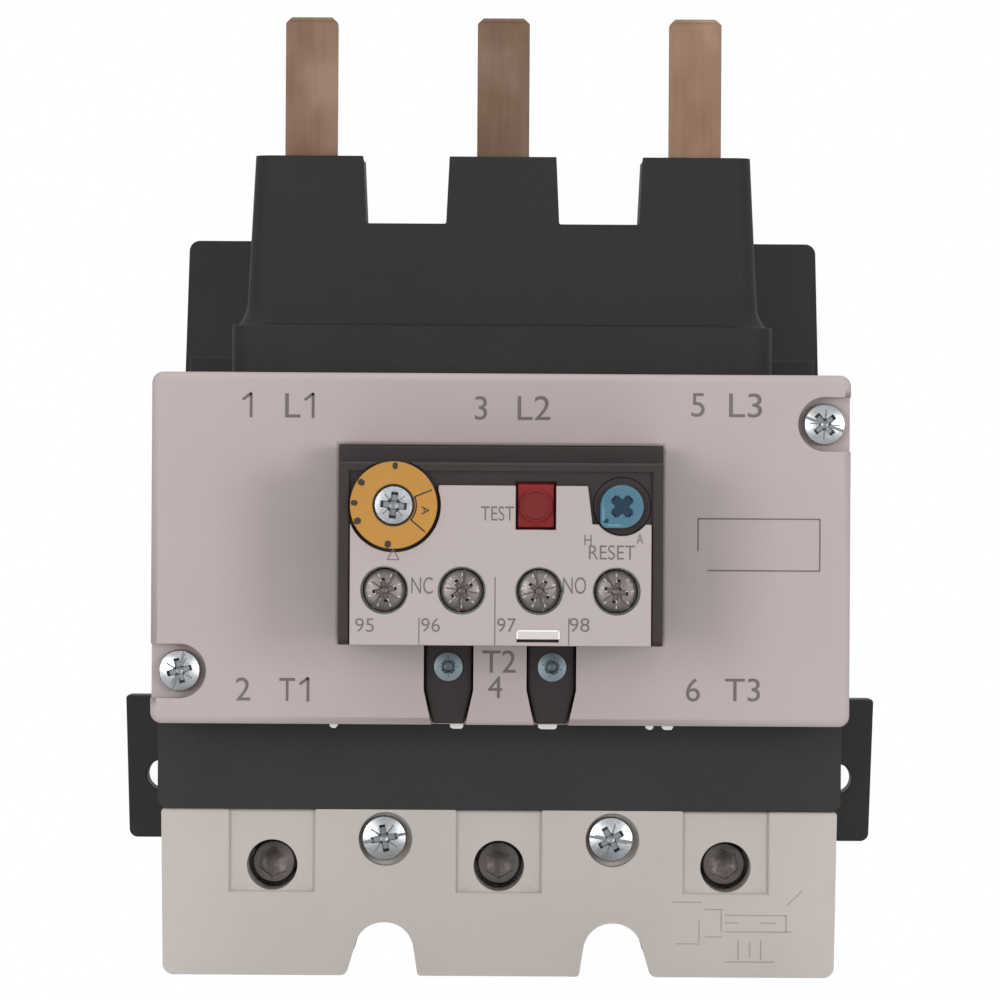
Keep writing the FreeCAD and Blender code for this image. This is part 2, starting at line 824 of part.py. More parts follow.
def bimetal(pole):
    """Bimetal strip, rooted just above its bracket."""
    x = pole * prong_pitch
    half = strip_thickness / 2
    root = strip_root + gap
    side = [
        (strip_front, root), (strip_front + strip_width, root),
        (strip_front + strip_width, strip_tip), (strip_front, strip_tip),
    ]
    return prism("YZ", side, (x - half, x + half))


def slider(limits, left_room, right_room, pin_slot):
    """Pusher bar with one window for each strip and an ear for the lever."""
    front = riser_front + bar_thickness + 0.4
    rail_back = strip_front + strip_width + 2.2
    tail_y = lever_pivot_y + lever_tail_reach
    bar = box(around(0, slider_span), (front, rail_back), limits)
    ear_back = tail_y + 3.2
    ear = box(around(lever_pivot_x, slider_ear_width), (front, ear_back), limits)
    body = fuse([bar, ear])
    cuts = []
    for pole in poles:
        x = pole * prong_pitch
        half = strip_thickness / 2
        window = (x - half - left_room, x + half + right_room)
        cuts.append(box(window, (strip_front - gap, strip_front + strip_width + gap), limits))
    if pin_slot:
        slot_width = 2 * (lever_pin_radius + differential_travel + gap)
        slot_x = (lever_pivot_x - slot_width / 2, lever_pivot_x + slot_width / 2)
        cuts.append(box(slot_x, around(tail_y, 2 * (lever_pin_radius + gap)), limits))
    return cut(body, cuts)


def trip_slider():
    """Main pusher with the lever's pivot pin."""
    body = slider(slider_a, trip_travel, push_gap, True)
    pin = rod("XY", (lever_pivot_x, lever_pivot_y), lever_pin_radius, (slider_a[1] - 0.5, lever_z[1]))
    return fuse([body, pin])


def differential_slider():
    """Lower pusher with the pin that turns the lever's tail."""
    body = slider(slider_b, push_gap, trip_travel, False)
    tail = (lever_pivot_x, lever_pivot_y + lever_tail_reach)
    return fuse([body, rod("XY", tail, lever_pin_radius, (slider_b[1] - 0.5, lever_z[1]))])


def differential_lever():
    """Two-armed lever: a forked tail behind its hub and a long nose in front."""
    x = lever_pivot_x
    nose_y = lever_pivot_y - lever_nose_reach
    tail_y = lever_pivot_y + lever_tail_reach
    fork_half = lever_pin_radius + gap + lever_arm_width
    hub = rod("XY", (x, lever_pivot_y), lever_hub_radius, lever_z)
    nose_half = lever_arm_width / 2
    nose = [
        (x - 1.6, lever_pivot_y), (x - nose_half, nose_y), (x + nose_half, nose_y), (x + 1.6, lever_pivot_y),
    ]
    tail = [
        (x - 1.6, lever_pivot_y), (x + 1.6, lever_pivot_y), (x + fork_half, tail_y - 3),
        (x + fork_half, tail_y + 2), (x - fork_half, tail_y + 2), (x - fork_half, tail_y - 3),
    ]
    body = fuse([hub, prism("XY", nose, lever_z), prism("XY", tail, lever_z)])
    bore = rod("XY", (x, lever_pivot_y), lever_pin_radius + fit, lever_z)
    slot_half = lever_pin_radius + gap
    fork = box((x - slot_half, x + slot_half), (tail_y - 1.6, tail_y + 3), lever_z)
    return cut(body, [bore, fork])


def compensation_rocker():
    """Bell crank: a strip that stands up to the lever's nose and an arm over the carrier."""
    hub_y = (carrier_y - carrier_depth / 2 - 0.5, rocker_strip_front + rocker_strip_width)
    hub = rod("XZ", (rocker_x, rocker_z), rocker_hub_radius, hub_y)
    half = rocker_strip_thickness / 2
    strip_y = (rocker_strip_front, hub_y[1])
    strip = box((rocker_x - half, rocker_x + half), strip_y, (rocker_z, rocker_strip_top))
    post_top = carrier_post_top()
    arm_y = (hub_y[0], hub_y[0] + rocker_arm_depth)
    arm = [
        (rocker_x, rocker_z - 0.8), (-1.2, rocker_z - 0.6), (-0.5, post_top + gap),
        (0.5, post_top + gap), (1.2, rocker_z - 0.2), (1.2, rocker_z + 0.8),
        (rocker_x, rocker_z + 1.4),
    ]
    body = fuse([hub, strip, prism("XZ", arm, arm_y)])
    return body.cut(rod("XZ", (rocker_x, rocker_z), rocker_pin_radius + fit, hub_y))


def rocker_pin():
    """Steel pin of the rocker, held in the head's cross wall."""
    end = rocker_strip_front + rocker_strip_width + 1.5
    return rod("XZ", (rocker_x, rocker_z), rocker_pin_radius, (cross_wall_y, end))


def carrier_post_top():
    return rocker_z - 1.3


def carrier_y_limits():
    return around(carrier_y, carrier_depth)


def nc_bridge_z():
    """Height of the closed bridge: its pads meet the pads under the contact bars."""
    pad_face = contact_bar_top - contact_bar_thickness - pad_height
    top = pad_face - fit - pad_height
    return (top - bridge_thickness, top)


def no_bridge_z():
    """Height of the open bridge, one contact gap above its fixed pads."""
    pad_face = contact_bar_top + pad_height
    bottom = pad_face + contact_gap + pad_height
    return (bottom, bottom + bridge_thickness)


def contact_carrier():
    """Cross beam under the contact bars, with a pushed post and two bridge pillars."""
    y = carrier_y_limits()
    beam_top = carrier_beam_bottom + carrier_beam_height
    beam = box(around(0, 2 * (aux_pitch + carrier_overhang)), y, (carrier_beam_bottom, beam_top))
    post = box(around(0, carrier_post_width), y, (beam_top - 0.5, carrier_post_top()))
    left = box(around(-aux_pitch, 1.8), y, (beam_top - 0.5, nc_bridge_z()[0]))
    right = box(around(aux_pitch, 1.8), y, (beam_top - 0.5, no_bridge_z()[0]))
    return fuse([beam, post, left, right])


def bridge(side, limits, pad_z):
    """Contact bridge with a square pad over each fixed contact."""
    x = side * aux_pitch
    half = aux_pitch / 2 + 2.0
    strip = box((x - half, x + half), around(carrier_y, bridge_width), limits)
    ends = (x - aux_pitch / 2, x + aux_pitch / 2)
    pads = [box(around(end, pad_width), around(carrier_y, pad_width), pad_z) for end in ends]
    return fuse([strip] + pads)


def nc_bridge():
    z = nc_bridge_z()
    return bridge(-1, z, (z[1] - 0.2, z[1] + pad_height))


def no_bridge():
    z = no_bridge_z()
    return bridge(1, z, (z[0] - pad_height, z[0] + 0.2))


def contact_bar(offset):
    """Bent contact bar: terminal face and square nut in front, pad near the rear end."""
    x = offset * aux_pitch
    back = contact_bar_front + contact_bar_thickness
    side = [
        (contact_bar_front, contact_bar_foot), (contact_bar_front, contact_bar_top, contact_bar_thickness),
        (contact_bar_rear, contact_bar_top), (contact_bar_rear, contact_bar_top - contact_bar_thickness),
        (back, contact_bar_top - contact_bar_thickness), (back, contact_bar_foot),
    ]
    half = contact_bar_width / 2
    bar = prism("YZ", side, (x - half, x + half))
    nut_width = 2 * (aux_screw_radius + aux_nut_wall)
    collar = box(around(x, nut_width), (back - 0.5, back + 2.2), around(aux_screw_z, nut_width))
    below = offset < 0
    if below:
        pad_z = (contact_bar_top - contact_bar_thickness - pad_height, contact_bar_top - 0.5)
    else:
        pad_z = (contact_bar_top - 0.5, contact_bar_top + pad_height)
    pad = box(around(x, pad_width), around(carrier_y, pad_width), pad_z)
    bore = rod("XZ", (x, aux_screw_z), aux_screw_radius + fit, (contact_bar_front, back + 2.2))
    return fuse([bar, collar, pad]).cut(bore)


def aux_clamp(offset):
    """Saddle clamp that rides on its screw and presses the wire on the contact bar."""
    x = offset * aux_pitch
    half = aux_clamp_width / 2
    limits = (aux_clamp_front, aux_clamp_back)
    plate = box((x - half, x + half), limits, around(aux_screw_z, aux_clamp_height))
    return plate.cut(rod("XZ", (x, aux_screw_z), aux_screw_radius + fit, limits))


def aux_screw(offset):
    """Auxiliary terminal screw that turns in its saddle clamp."""
    x = offset * aux_pitch
    seat = aux_clamp_front
    head = rod("XZ", (x, aux_screw_z), aux_head_radius, (seat - aux_head_height, seat))
    shank = rod("XZ", (x, aux_screw_z), aux_screw_radius, (seat, seat + aux_screw_length))
    return fuse([head, shank])


def setting_dial():
    """Dial disc, shaft and eccentric cam in one turning piece."""
    disc_back = label_back - gap
    disc_front = disc_back - dial_thickness
    centre = (dial_x, control_z)
    disc = rod("XZ", centre, dial_radius, (disc_front, disc_back))
    cam_y = (cam_front, cam_front + cam_length)
    shaft = rod("XZ", centre, dial_shaft_radius, (disc_back, cam_y[1]))
    cam = rod("XZ", (dial_x, control_z + cam_offset), cam_radius, cam_y)
    body = fuse([disc, shaft, cam])
    seat = rod("XZ", centre, dial_insert_radius, (disc_front, disc_front + 1.5))
    return body.cut(seat)


def dial_insert():
    """Metal insert with the cross recess for the screwdriver."""
    front = label_back - gap - dial_thickness
    y = (front - 0.2, front + 1.5)
    slug = rod("XZ", (dial_x, control_z), dial_insert_radius, y)
    cross = [
        box(around(dial_x, 3.6), (y[0], y[0] + 1.1), around(control_z, 0.9)),
        box(around(dial_x, 0.9), (y[0], y[0] + 1.1), around(control_z, 3.6)),
    ]
    return cut(slug, cross)


def adjuster_lever():
    """Lever under the cam, turned a little as the dial turns."""
    top = control_z - cam_radius + cam_offset - gap
    pivot_z = top - adjuster_arm / 2
    y = (cam_front + 1.0, cam_front + 1.0 + adjuster_thickness)
    arm = [
        (dial_x - 2.0, top - adjuster_arm), (adjuster_pivot_x, pivot_z - 1.0),
        (adjuster_pivot_x, pivot_z + 1.0), (dial_x - 2.0, top),
    ]
    hub = rod("XZ", (adjuster_pivot_x, pivot_z), adjuster_pin_radius + 1.0, y)
    body = fuse([hub, prism("XZ", arm, y)])
    return body.cut(rod("XZ", (adjuster_pivot_x, pivot_z), adjuster_pin_radius + fit, y))


def test_button():
    """Square button with a round touch face, a rim behind the wall and a guided stem."""
    front = label_back - 0.4
    back = wall_back + gap
    block = box(around(test_x, test_width), (front, back), around(control_z, test_height))
    touch = rod("XZ", (test_x, control_z), test_button_radius, (front - touch_height, front))
    rim_width = test_width + 2 * (gap + button_rim)
    rim_height = test_height + 2 * (gap + button_rim)
    rim = box(around(test_x, rim_width), (back, rim_back), around(control_z, rim_height))
    stem_y = (rim_back, guide_y + guide_depth + 1.0)
    stem = box(around(test_x, stem_width), stem_y, around(control_z, stem_width))
    return fuse([block, touch, rim, stem])


def reset_collar():
    """Round sleeve of the reset button with its rim, flat beside the wall, and guided stem."""
    front = label_back
    back = wall_back + gap
    centre = (reset_x, control_z)
    sleeve = rod("XZ", centre, reset_radius, (front, back))
    rim = rod("XZ", centre, reset_radius + button_rim, (back, rim_back))
    flats = around(reset_x, 2 * (reset_radius - fit))
    rim = rim.common(box(flats, (back, rim_back), around(control_z, 2 * (reset_radius + button_rim))))
    stem_y = (rim_back, guide_y + guide_depth + 1.0)
    stem = box(around(reset_x, stem_width), stem_y, around(control_z, stem_width))
    body = fuse([sleeve, rim, stem])
    return body.cut(rod("XZ", centre, knob_stub_radius + fit, (front, front + 2.0)))


def reset_knob():
    """Selector knob: a round with one blunt corner, and a stub in the sleeve."""
    y = (label_front - 0.2, label_back - 0.05)
    disc = rod("XZ", (reset_x, control_z), knob_radius, y)
    low = (reset_x - knob_radius, control_z - knob_radius)
    corner = [(low[0], low[1], knob_corner), (reset_x, low[1]), (reset_x, control_z), (low[0], control_z)]
    nose = prism("XZ", corner, y)
    stub = rod("XZ", (reset_x, control_z), knob_stub_radius, (y[1], y[1] + 1.8))
    cross = [
        box(around(reset_x, 3.4), (y[0], y[0] + 0.8), around(control_z, 0.8)),
        box(around(reset_x, 0.8), (y[0], y[0] + 0.8), around(control_z, 3.4)),
    ]
    for tool in cross:
        tool.rotate(V(reset_x, 0, control_z), V(0, 1, 0), 45)
    return cut(fuse([disc, nose, stub]), cross)


def coil_spring(length, turns):
    """Square-wire coil along Z, from 0 to its length, in short straight runs."""
    half = spring_wire / 2
    rise = length - spring_wire
    count = coil_sides * turns
    sections = []
    for i in range(count + 1):
        angle = 2 * math.pi * i / coil_sides
        outwards = V(math.cos(angle), math.sin(angle), 0)
        middle = outwards * spring_radius + V(0, 0, half + rise * i / count)
        up = V(0, 0, half)
        out = outwards * half
        sections.append([middle - out - up, middle + out - up, middle + out + up, middle - out + up])
    faces = [Part.Face(Part.makePolygon(sections[0] + sections[0][:1]))]
    faces.append(Part.Face(Part.makePolygon(sections[-1] + sections[-1][:1])))
    for here, ahead in zip(sections, sections[1:]):
        for i in range(4):
            a, b, c, d = here[i - 1], here[i], ahead[i], ahead[i - 1]
            faces.append(Part.Face(Part.makePolygon([a, b, c, a])))
            faces.append(Part.Face(Part.makePolygon([a, c, d, a])))
    return Part.Solid(Part.Shell(faces))


def button_spring(x):
    """Return spring round a button's stem, between its rim and the guide."""
    coil = coil_spring(guide_y - rim_back, spring_turns)
    coil.rotate(V(0, 0, 0), V(1, 0, 0), -90)
    coil.translate(V(x, rim_back, control_z))
    return coil


def carrier_spring():
    """Spring between the head's floor and the contact carrier."""
    floor_z = head_bottom + head_wall
    coil = coil_spring(carrier_beam_bottom - floor_z, 3)
    coil.translate(V(0, carrier_y, floor_z))
    return coil


def terminal_cage(pole):
    """Box clamp round the terminal bar, with the tapped plate in front."""
    x = pole * terminal_pitch
    half = cage_width / 2
    height = (cage_bottom, cage_top)
    body = rounded("XY", (x - half, x + half), cage_rest, height, 1.0)
    inner = half - cage_wall
    room_y = (cage_front + cage_front_thickness, cage_back - cage_back_thickness)
    room = box((x - inner, x + inner), room_y, height)
    bore = rod("XZ", (x, terminal_z), clamp_screw_radius + fit, (cage_front, room_y[0]))
    return cut(body, [room, bore])


def clamp_screw(pole):
    """Main terminal screw with a hexagon socket."""
    x = pole * terminal_pitch
    tip = output_front - joint_gap
    y = (tip - clamp_screw_length, tip)
    body = rod("XZ", (x, terminal_z), clamp_screw_radius, y)
    circle = clamp_socket / math.sqrt(3)
    angles = [math.radians(60 * i + 30) for i in range(6)]
    hexagon = [(x + circle * math.cos(a), terminal_z + circle * math.sin(a)) for a in angles]
    return body.cut(prism("XZ", hexagon, (y[0], y[0] + clamp_socket_depth)))


export("base_housing", base_housing())
export("main_housing", main_housing())
export("front_cover", front_cover())
export("terminal_shroud", terminal_shroud())
export("prong_shroud", prong_shroud())
export("head_housing", head_housing())
export("label_plate", label_plate())
export("rocker_pin", rocker_pin())
for index, pole in enumerate(poles, 1):
    export("prong_bar_%d" % index, prong_bar(pole))
    export("heater_%d" % index, heater(pole))
    export("output_bar_%d" % index, output_bar(pole))
    export("bimetal_%d" % index, bimetal(pole))
    export("terminal_cage_%d" % index, terminal_cage(pole))
    export("clamp_screw_%d" % index, clamp_screw(pole))
for mark, offset in aux_places.items():
    export("contact_" + mark, contact_bar(offset))
    export("aux_clamp_" + mark, aux_clamp(offset))
    export("aux_screw_" + mark, aux_screw(offset))
export("trip_slider", trip_slider())
export("differential_slider", differential_slider())
export("differential_lever", differential_lever())
export("compensation_rocker", compensation_rocker())
export("contact_carrier", contact_carrier())
export("nc_bridge", nc_bridge())
export("no_bridge", no_bridge())
export("carrier_spring", carrier_spring())
export("setting_dial", setting_dial())
export("dial_insert", dial_insert())
export("adjuster_lever", adjuster_lever())
export("test_button", test_button())
export("test_spring", button_spring(test_x))
export("reset_collar", reset_collar())
export("reset_knob", reset_knob())
export("reset_spring", button_spring(reset_x))
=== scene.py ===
import json
import math

import bmesh
import bpy
from mathutils import Matrix, Vector
from mathutils.bvhtree import BVHTree

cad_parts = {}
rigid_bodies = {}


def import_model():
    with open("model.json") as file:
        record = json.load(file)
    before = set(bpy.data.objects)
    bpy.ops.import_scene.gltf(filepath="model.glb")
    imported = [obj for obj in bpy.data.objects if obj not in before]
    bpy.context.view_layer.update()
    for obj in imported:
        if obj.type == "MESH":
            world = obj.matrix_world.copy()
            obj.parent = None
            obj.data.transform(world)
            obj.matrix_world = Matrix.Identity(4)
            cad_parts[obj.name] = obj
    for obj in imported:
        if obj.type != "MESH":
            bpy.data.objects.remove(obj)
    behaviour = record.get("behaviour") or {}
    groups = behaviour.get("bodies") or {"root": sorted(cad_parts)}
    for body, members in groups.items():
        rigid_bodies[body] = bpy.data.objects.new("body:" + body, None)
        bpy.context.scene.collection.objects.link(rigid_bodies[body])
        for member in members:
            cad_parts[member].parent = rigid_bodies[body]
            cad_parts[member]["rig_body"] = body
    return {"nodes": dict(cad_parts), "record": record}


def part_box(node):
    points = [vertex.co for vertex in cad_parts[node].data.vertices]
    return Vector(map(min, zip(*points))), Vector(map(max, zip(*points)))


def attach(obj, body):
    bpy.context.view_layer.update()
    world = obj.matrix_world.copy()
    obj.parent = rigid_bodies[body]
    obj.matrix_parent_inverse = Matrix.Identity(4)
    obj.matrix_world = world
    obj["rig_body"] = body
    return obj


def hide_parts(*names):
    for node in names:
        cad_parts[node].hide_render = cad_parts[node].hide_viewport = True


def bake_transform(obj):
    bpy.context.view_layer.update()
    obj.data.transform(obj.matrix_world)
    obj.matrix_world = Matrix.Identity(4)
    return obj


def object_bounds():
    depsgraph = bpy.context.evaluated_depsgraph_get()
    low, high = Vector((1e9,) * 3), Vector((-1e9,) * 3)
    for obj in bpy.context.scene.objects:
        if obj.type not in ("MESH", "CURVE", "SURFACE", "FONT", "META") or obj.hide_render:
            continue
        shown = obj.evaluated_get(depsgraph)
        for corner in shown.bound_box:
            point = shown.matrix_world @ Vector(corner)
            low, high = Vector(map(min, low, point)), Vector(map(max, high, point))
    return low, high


MM = 0.001
COVER_FRONT = -90.0
LABEL_FRONT = -117.6
SHROUD_FRONT = -68.0
TONGUE_FRONT = -88.4
DIAL = (-14.87, 42.3)
RESET = (16.8, 42.3)
POLES = (-1, 0, 1)
AUX_Z = 30.5
AUX_HEAD_RADIUS = 3.05
AUX_HEAD_DEPTH = 2.4
TERMINAL_PITCH = 33.2
TERMINAL_Z = -10.5
CLAMP_HEAD_RADIUS = 3.25
CLAMP_HEAD_DEPTH = 5.0
SOCKET_WIDTH = 4.0
HOOK_FRONT = -82.0
HOOK_BACK = -78.0
PRINT_RAISE = 0.03
CUT_LEAD = 0.2
CLIP_RAISE = 0.12

# Rounding of the mouldings, lengths in millimetres and angles in degrees

ROUNDING_STEPS = 3
ROUNDING_TRIES = 5
SHARP_ANGLE = 32.0
FLAT_ANGLE = 0.2
RUN_ANGLE = 50
ROOM_USED = 0.85
WELD = 0.002
STRAY_ANYWHERE = 0.4
STRAY_OUTSIDE = 0.03

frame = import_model()
cad_box = [list(corner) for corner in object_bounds()]
nodes = frame["nodes"]


# Materials

def blank(name):
    """A new material with its shader, ready for more nodes."""
    material = bpy.data.materials.new(name)
    material.use_nodes = True
    tree = material.node_tree
    return material, tree, tree.nodes["Principled BSDF"]


def noise(tree, scale, detail=4.0, stretch=(1, 1, 1)):
    """Noise in the object's own space, its scale in cycles per metre."""
    coords = tree.nodes.new("ShaderNodeTexCoord")
    mapping = tree.nodes.new("ShaderNodeMapping")
    mapping.inputs["Scale"].default_value = stretch
    texture = tree.nodes.new("ShaderNodeTexNoise")
    texture.inputs["Scale"].default_value = scale
    texture.inputs["Detail"].default_value = detail
    tree.links.new(coords.outputs["Object"], mapping.inputs["Vector"])
    tree.links.new(mapping.outputs["Vector"], texture.inputs["Vector"])
    return texture.outputs["Fac"]


def ramp(tree, factor, stops):
    """Colours along a factor, as (place, colour) stops."""
    node = tree.nodes.new("ShaderNodeValToRGB")
    elements = node.color_ramp.elements
    while len(elements) < len(stops):
        elements.new(0.5)
    for element, (place, colour) in zip(elements, stops):
        element.position = place
        element.color = (*colour, 1.0)
    tree.links.new(factor, node.inputs["Fac"])
    return node.outputs["Color"]


def spread(tree, factor, low, high):
    """A factor stretched between two values."""
    node = tree.nodes.new("ShaderNodeMapRange")
    node.inputs["From Min"].default_value = 0.3
    node.inputs["From Max"].default_value = 0.7
    node.inputs["To Min"].default_value = low
    node.inputs["To Max"].default_value = high
    tree.links.new(factor, node.inputs["Value"])
    return node.outputs["Result"]


def bump(tree, bsdf, factor, strength, depth):
    """Fine relief on a surface, its depth in millimetres."""
    node = tree.nodes.new("ShaderNodeBump")
    node.inputs["Strength"].default_value = strength
    node.inputs["Distance"].default_value = depth * MM
    tree.links.new(factor, node.inputs["Height"])
    tree.links.new(node.outputs["Normal"], bsdf.inputs["Normal"])


def shade(colour, factor):
    return tuple(min(1.0, channel * factor) for channel in colour)


def plastic(name, colour, roughness, variation=0.05, grain=0.12, specular=0.5):
    """Moulded plastic: fine grain, a little mottle and uneven gloss."""
    material, tree, bsdf = blank(name)
    mottle = noise(tree, 70.0, 3.0)
    stops = [(0.3, shade(colour, 1 - variation)), (0.7, shade(colour, 1 + variation))]
    tree.links.new(ramp(tree, mottle, stops), bsdf.inputs["Base Color"])
    fine = noise(tree, 3200.0, 5.0)
    tree.links.new(spread(tree, fine, roughness - 0.06, roughness + 0.08), bsdf.inputs["Roughness"])
    bump(tree, bsdf, fine, grain, 0.04)
    bsdf.inputs["Specular IOR Level"].default_value = specular
    return material


def metal(name, colour, roughness, brushed=(1, 1, 1), stains=0.1, relief=0.1):
    """Bare or plated metal with directional scratches and faint staining."""
    material, tree, bsdf = blank(name)
    bsdf.inputs["Metallic"].default_value = 1.0
    cloud = noise(tree, 260.0, 6.0)
    stops = [(0.25, shade(colour, 1 - stains)), (0.5, colour), (0.75, shade(colour, 1 + stains))]
    tree.links.new(ramp(tree, cloud, stops), bsdf.inputs["Base Color"])
    lines = noise(tree, 1800.0, 6.0, brushed)
    tree.links.new(spread(tree, lines, roughness - 0.07, roughness + 0.1), bsdf.inputs["Roughness"])
    bump(tree, bsdf, lines, relief, 0.02)
    return material


def copper(name, tone):
    """Copper bar, browned and rubbed paler in cloudy patches, darker or paler by its tone."""
    material, tree, bsdf = blank(name)
    bsdf.inputs["Metallic"].default_value = 0.75
    cloud = noise(tree, 120.0, 9.0, (1.0, 1.0, 0.6))
    stops = [(0.3, shade((0.18, 0.103, 0.066), tone)), (0.5, shade((0.225, 0.137, 0.092), tone)),
             (0.66, shade((0.285, 0.187, 0.134), tone))]
    tree.links.new(ramp(tree, cloud, stops), bsdf.inputs["Base Color"])
    lines = noise(tree, 1500.0, 6.0, (1.0, 1.0, 0.05))
    tree.links.new(spread(tree, lines, 0.38, 0.58), bsdf.inputs["Roughness"])
    bump(tree, bsdf, lines, 0.12, 0.03)
    return material


PRONG_TONES = {-1: 0.8, 0: 0.6, 1: 1.05}
MATERIALS = {
    "black_plastic": plastic("black_moulding", (0.0235, 0.0228, 0.0222), 0.58, 0.10, 0.10, 0.3),
    "cover_gray": plastic("cover_moulding", (0.47, 0.405, 0.398), 0.57, 0.02, 0.08, 0.3),
    "shroud_gray": plastic("shroud_moulding", (0.545, 0.505, 0.475), 0.56, 0.025, 0.10, 0.3),
    "head_black": plastic("head_moulding", (0.026, 0.019, 0.0177), 0.55, 0.10, 0.10, 0.3),
    "label_gray": plastic("label_moulding", (0.44, 0.385, 0.375), 0.58, 0.015, 0.06, 0.3),
    "copper": copper("copper_bar", 1.0),
    "resistance_alloy": metal("heater_alloy", (0.42, 0.36, 0.30), 0.4, (1, 1, 0.1), 0.15),
    "bimetal": metal("bimetal_strip", (0.50, 0.47, 0.42), 0.35, (1, 0.1, 1), 0.1),
    "zinc_steel": metal("zinc_plate", (0.37, 0.385, 0.395), 0.27, (1, 1, 1), 0.22),
    "dark_steel": metal("dark_steel", (0.135, 0.118, 0.112), 0.42, (1, 1, 1), 0.25),
    "spring_steel": metal("spring_steel", (0.36, 0.36, 0.37), 0.3, (1, 1, 1), 0.1),
    "contact_brass": metal("contact_brass", (0.52, 0.38, 0.20), 0.33, (1, 0.1, 1), 0.12),
    "white_plastic": plastic("slider_moulding", (0.72, 0.70, 0.66), 0.5, 0.03, 0.08),
    "orange_plastic": plastic("dial_moulding", (0.455, 0.222, 0.038), 0.5, 0.05, 0.06, 0.3),
    "red_plastic": plastic("test_moulding", (0.25, 0.020, 0.022), 0.5, 0.08, 0.06, 0.15),
    "blue_plastic": plastic("knob_moulding", (0.066, 0.160, 0.225), 0.5, 0.06, 0.06, 0.25),
}
INK = plastic("gray_print", (0.16, 0.135, 0.13), 0.6, 0.12, 0.05, 0.3)
FAINT_INK = plastic("faint_print", (0.37, 0.325, 0.31), 0.6, 0.10, 0.05, 0.3)
DARK_INK = plastic("dark_print", (0.035, 0.024, 0.016), 0.55, 0.2, 0.05, 0.3)
# Painted shade: dark red for the ring at the edge of the test button's dimple.
RED_SHADE = plastic("red_groove_shade", (0.105, 0.012, 0.014), 0.6, 0.1, 0.05, 0.2)
# Painted shade: a darker red for the shallow dimple in the test button's face.
RED_DIMPLE_SHADE = plastic("red_dimple_shade", (0.183, 0.0185, 0.020), 0.5, 0.08, 0.06, 0.15)
# Painted highlight: pale blue for the rim of the reset knob, where its edge catches light.
BLUE_RIM_HIGHLIGHT = plastic("blue_rim_highlight", (0.11, 0.27, 0.345), 0.5, 0.06, 0.06, 0.25)
# Painted shade: dark blue for the recessed cross of the reset knob, also used for its arrow mark.
BLUE_SHADE = plastic("blue_recess_shade", (0.012, 0.034, 0.06), 0.6, 0.15, 0.05, 0.2)
PALE_PLASTIC = plastic("pale_clip", (0.62, 0.57, 0.555), 0.5, 0.03, 0.05, 0.3)
# White plastic of the hook tips, also used as a painted highlight on the label clip's rim.
WHITE_TIPS_AND_HIGHLIGHT = plastic("white_clip_and_highlight", (0.90, 0.90, 0.89), 0.45, 0.02, 0.05, 0.4)
# Dark steel of the aux screw heads, darkened as painted shade of their deep seats.
SHADED_AUX_STEEL = metal("aux_steel_painted_shade", (0.165, 0.148, 0.14), 0.34, (1, 1, 1), 0.35)
BLUE_ZINC = metal("blue_zinc", (0.155, 0.195, 0.215), 0.38, (1, 1, 1), 0.22)
SHADED_ZINC = metal("shaded_zinc", (0.20, 0.21, 0.22), 0.36, (1, 1, 1), 0.2)
SHADED_BLUE = metal("shaded_blue", (0.09, 0.115, 0.13), 0.4, (1, 1, 1), 0.2)
SHADED_STEEL = metal("shaded_steel", (0.115, 0.10, 0.097), 0.42, (1, 1, 1), 0.3)
# Bright steel for painted glints on the aux screw heads, standing in for light caught by the recess edges.
PAINTED_GLINT = metal("painted_glint", (0.46, 0.42, 0.41), 0.3, (1, 1, 1), 0.2, 0.05)


# Pieces

def link(name, mesh, material):
    """A named object made from a mesh."""
    piece = bpy.data.objects.new(name, mesh)
    bpy.context.scene.collection.objects.link(piece)
    mesh.materials.clear()
    mesh.materials.append(material)
    return piece


def smooth(mesh, angle=40.0):
    mesh.shade_smooth()
    mesh.set_sharp_from_angle(angle=math.radians(angle))


def merge_flat(work):
    """Merges faces that lie in one plane, the longest inner edges first, into faces without holes."""
    def inner(edge):
        return len(edge.link_faces) == 2 and edge.calc_face_angle(1.0) < math.radians(FLAT_ANGLE)

    for edge in sorted((edge for edge in work.edges if inner(edge)), key=lambda e: -e.calc_length()):
        if not edge.is_valid or len(edge.link_faces) != 2:
            continue
        first, second = edge.link_faces
        shared = set(first.verts) & set(second.verts)
        common = set(first.edges) & set(second.edges)
        if first is not second and len(shared) == len(common) + 1:
            bmesh.utils.face_join((first, second), True)
    loose = [vert for vert in work.verts if len(vert.link_edges) == 2]
    bmesh.ops.dissolve_verts(work, verts=[vert for vert in loose if vert.calc_edge_angle(1.0) < 0.004])


def turning(loop):
    """How much of a rounding's width a face's edge loses at the end where it meets the next edge."""
    angle = math.pi - loop.calc_angle()
    if not loop.is_convex:
        return 0.0
    return math.tan(min(angle, 3.0) / 2)


def room_across(edge, face):
    """How wide a rounding a face has room for along one of its edges."""
    loop = next(loop for loop in face.loops if loop.edge is edge)
    start = loop.vert.co
    end = loop.link_loop_next.vert.co
    along = (end - start).normalized()
    inwards = face.normal.cross(along)
    lost = turning(loop) + turning(loop.link_loop_next)
    nearest = min(1.0, (end - start).length / max(lost, 1e-3))
    for share in (0.02, 0.25, 0.5, 0.75, 0.98):
        base = start.lerp(end, share)
        for other in face.edges:
            if other is edge:
                continue
            a, b = (vert.co - base for vert in other.verts)
            a = (a.dot(along), a.dot(inwards))
            b = (b.dot(along), b.dot(inwards))
            if a[0] * b[0] > 0 or abs(a[0] - b[0]) < 1e-8:
                continue
            reach = a[1] + (b[1] - a[1]) * a[0] / (a[0] - b[0])
            if reach > 2e-5:
                nearest = min(nearest, reach / 2)
    return nearest


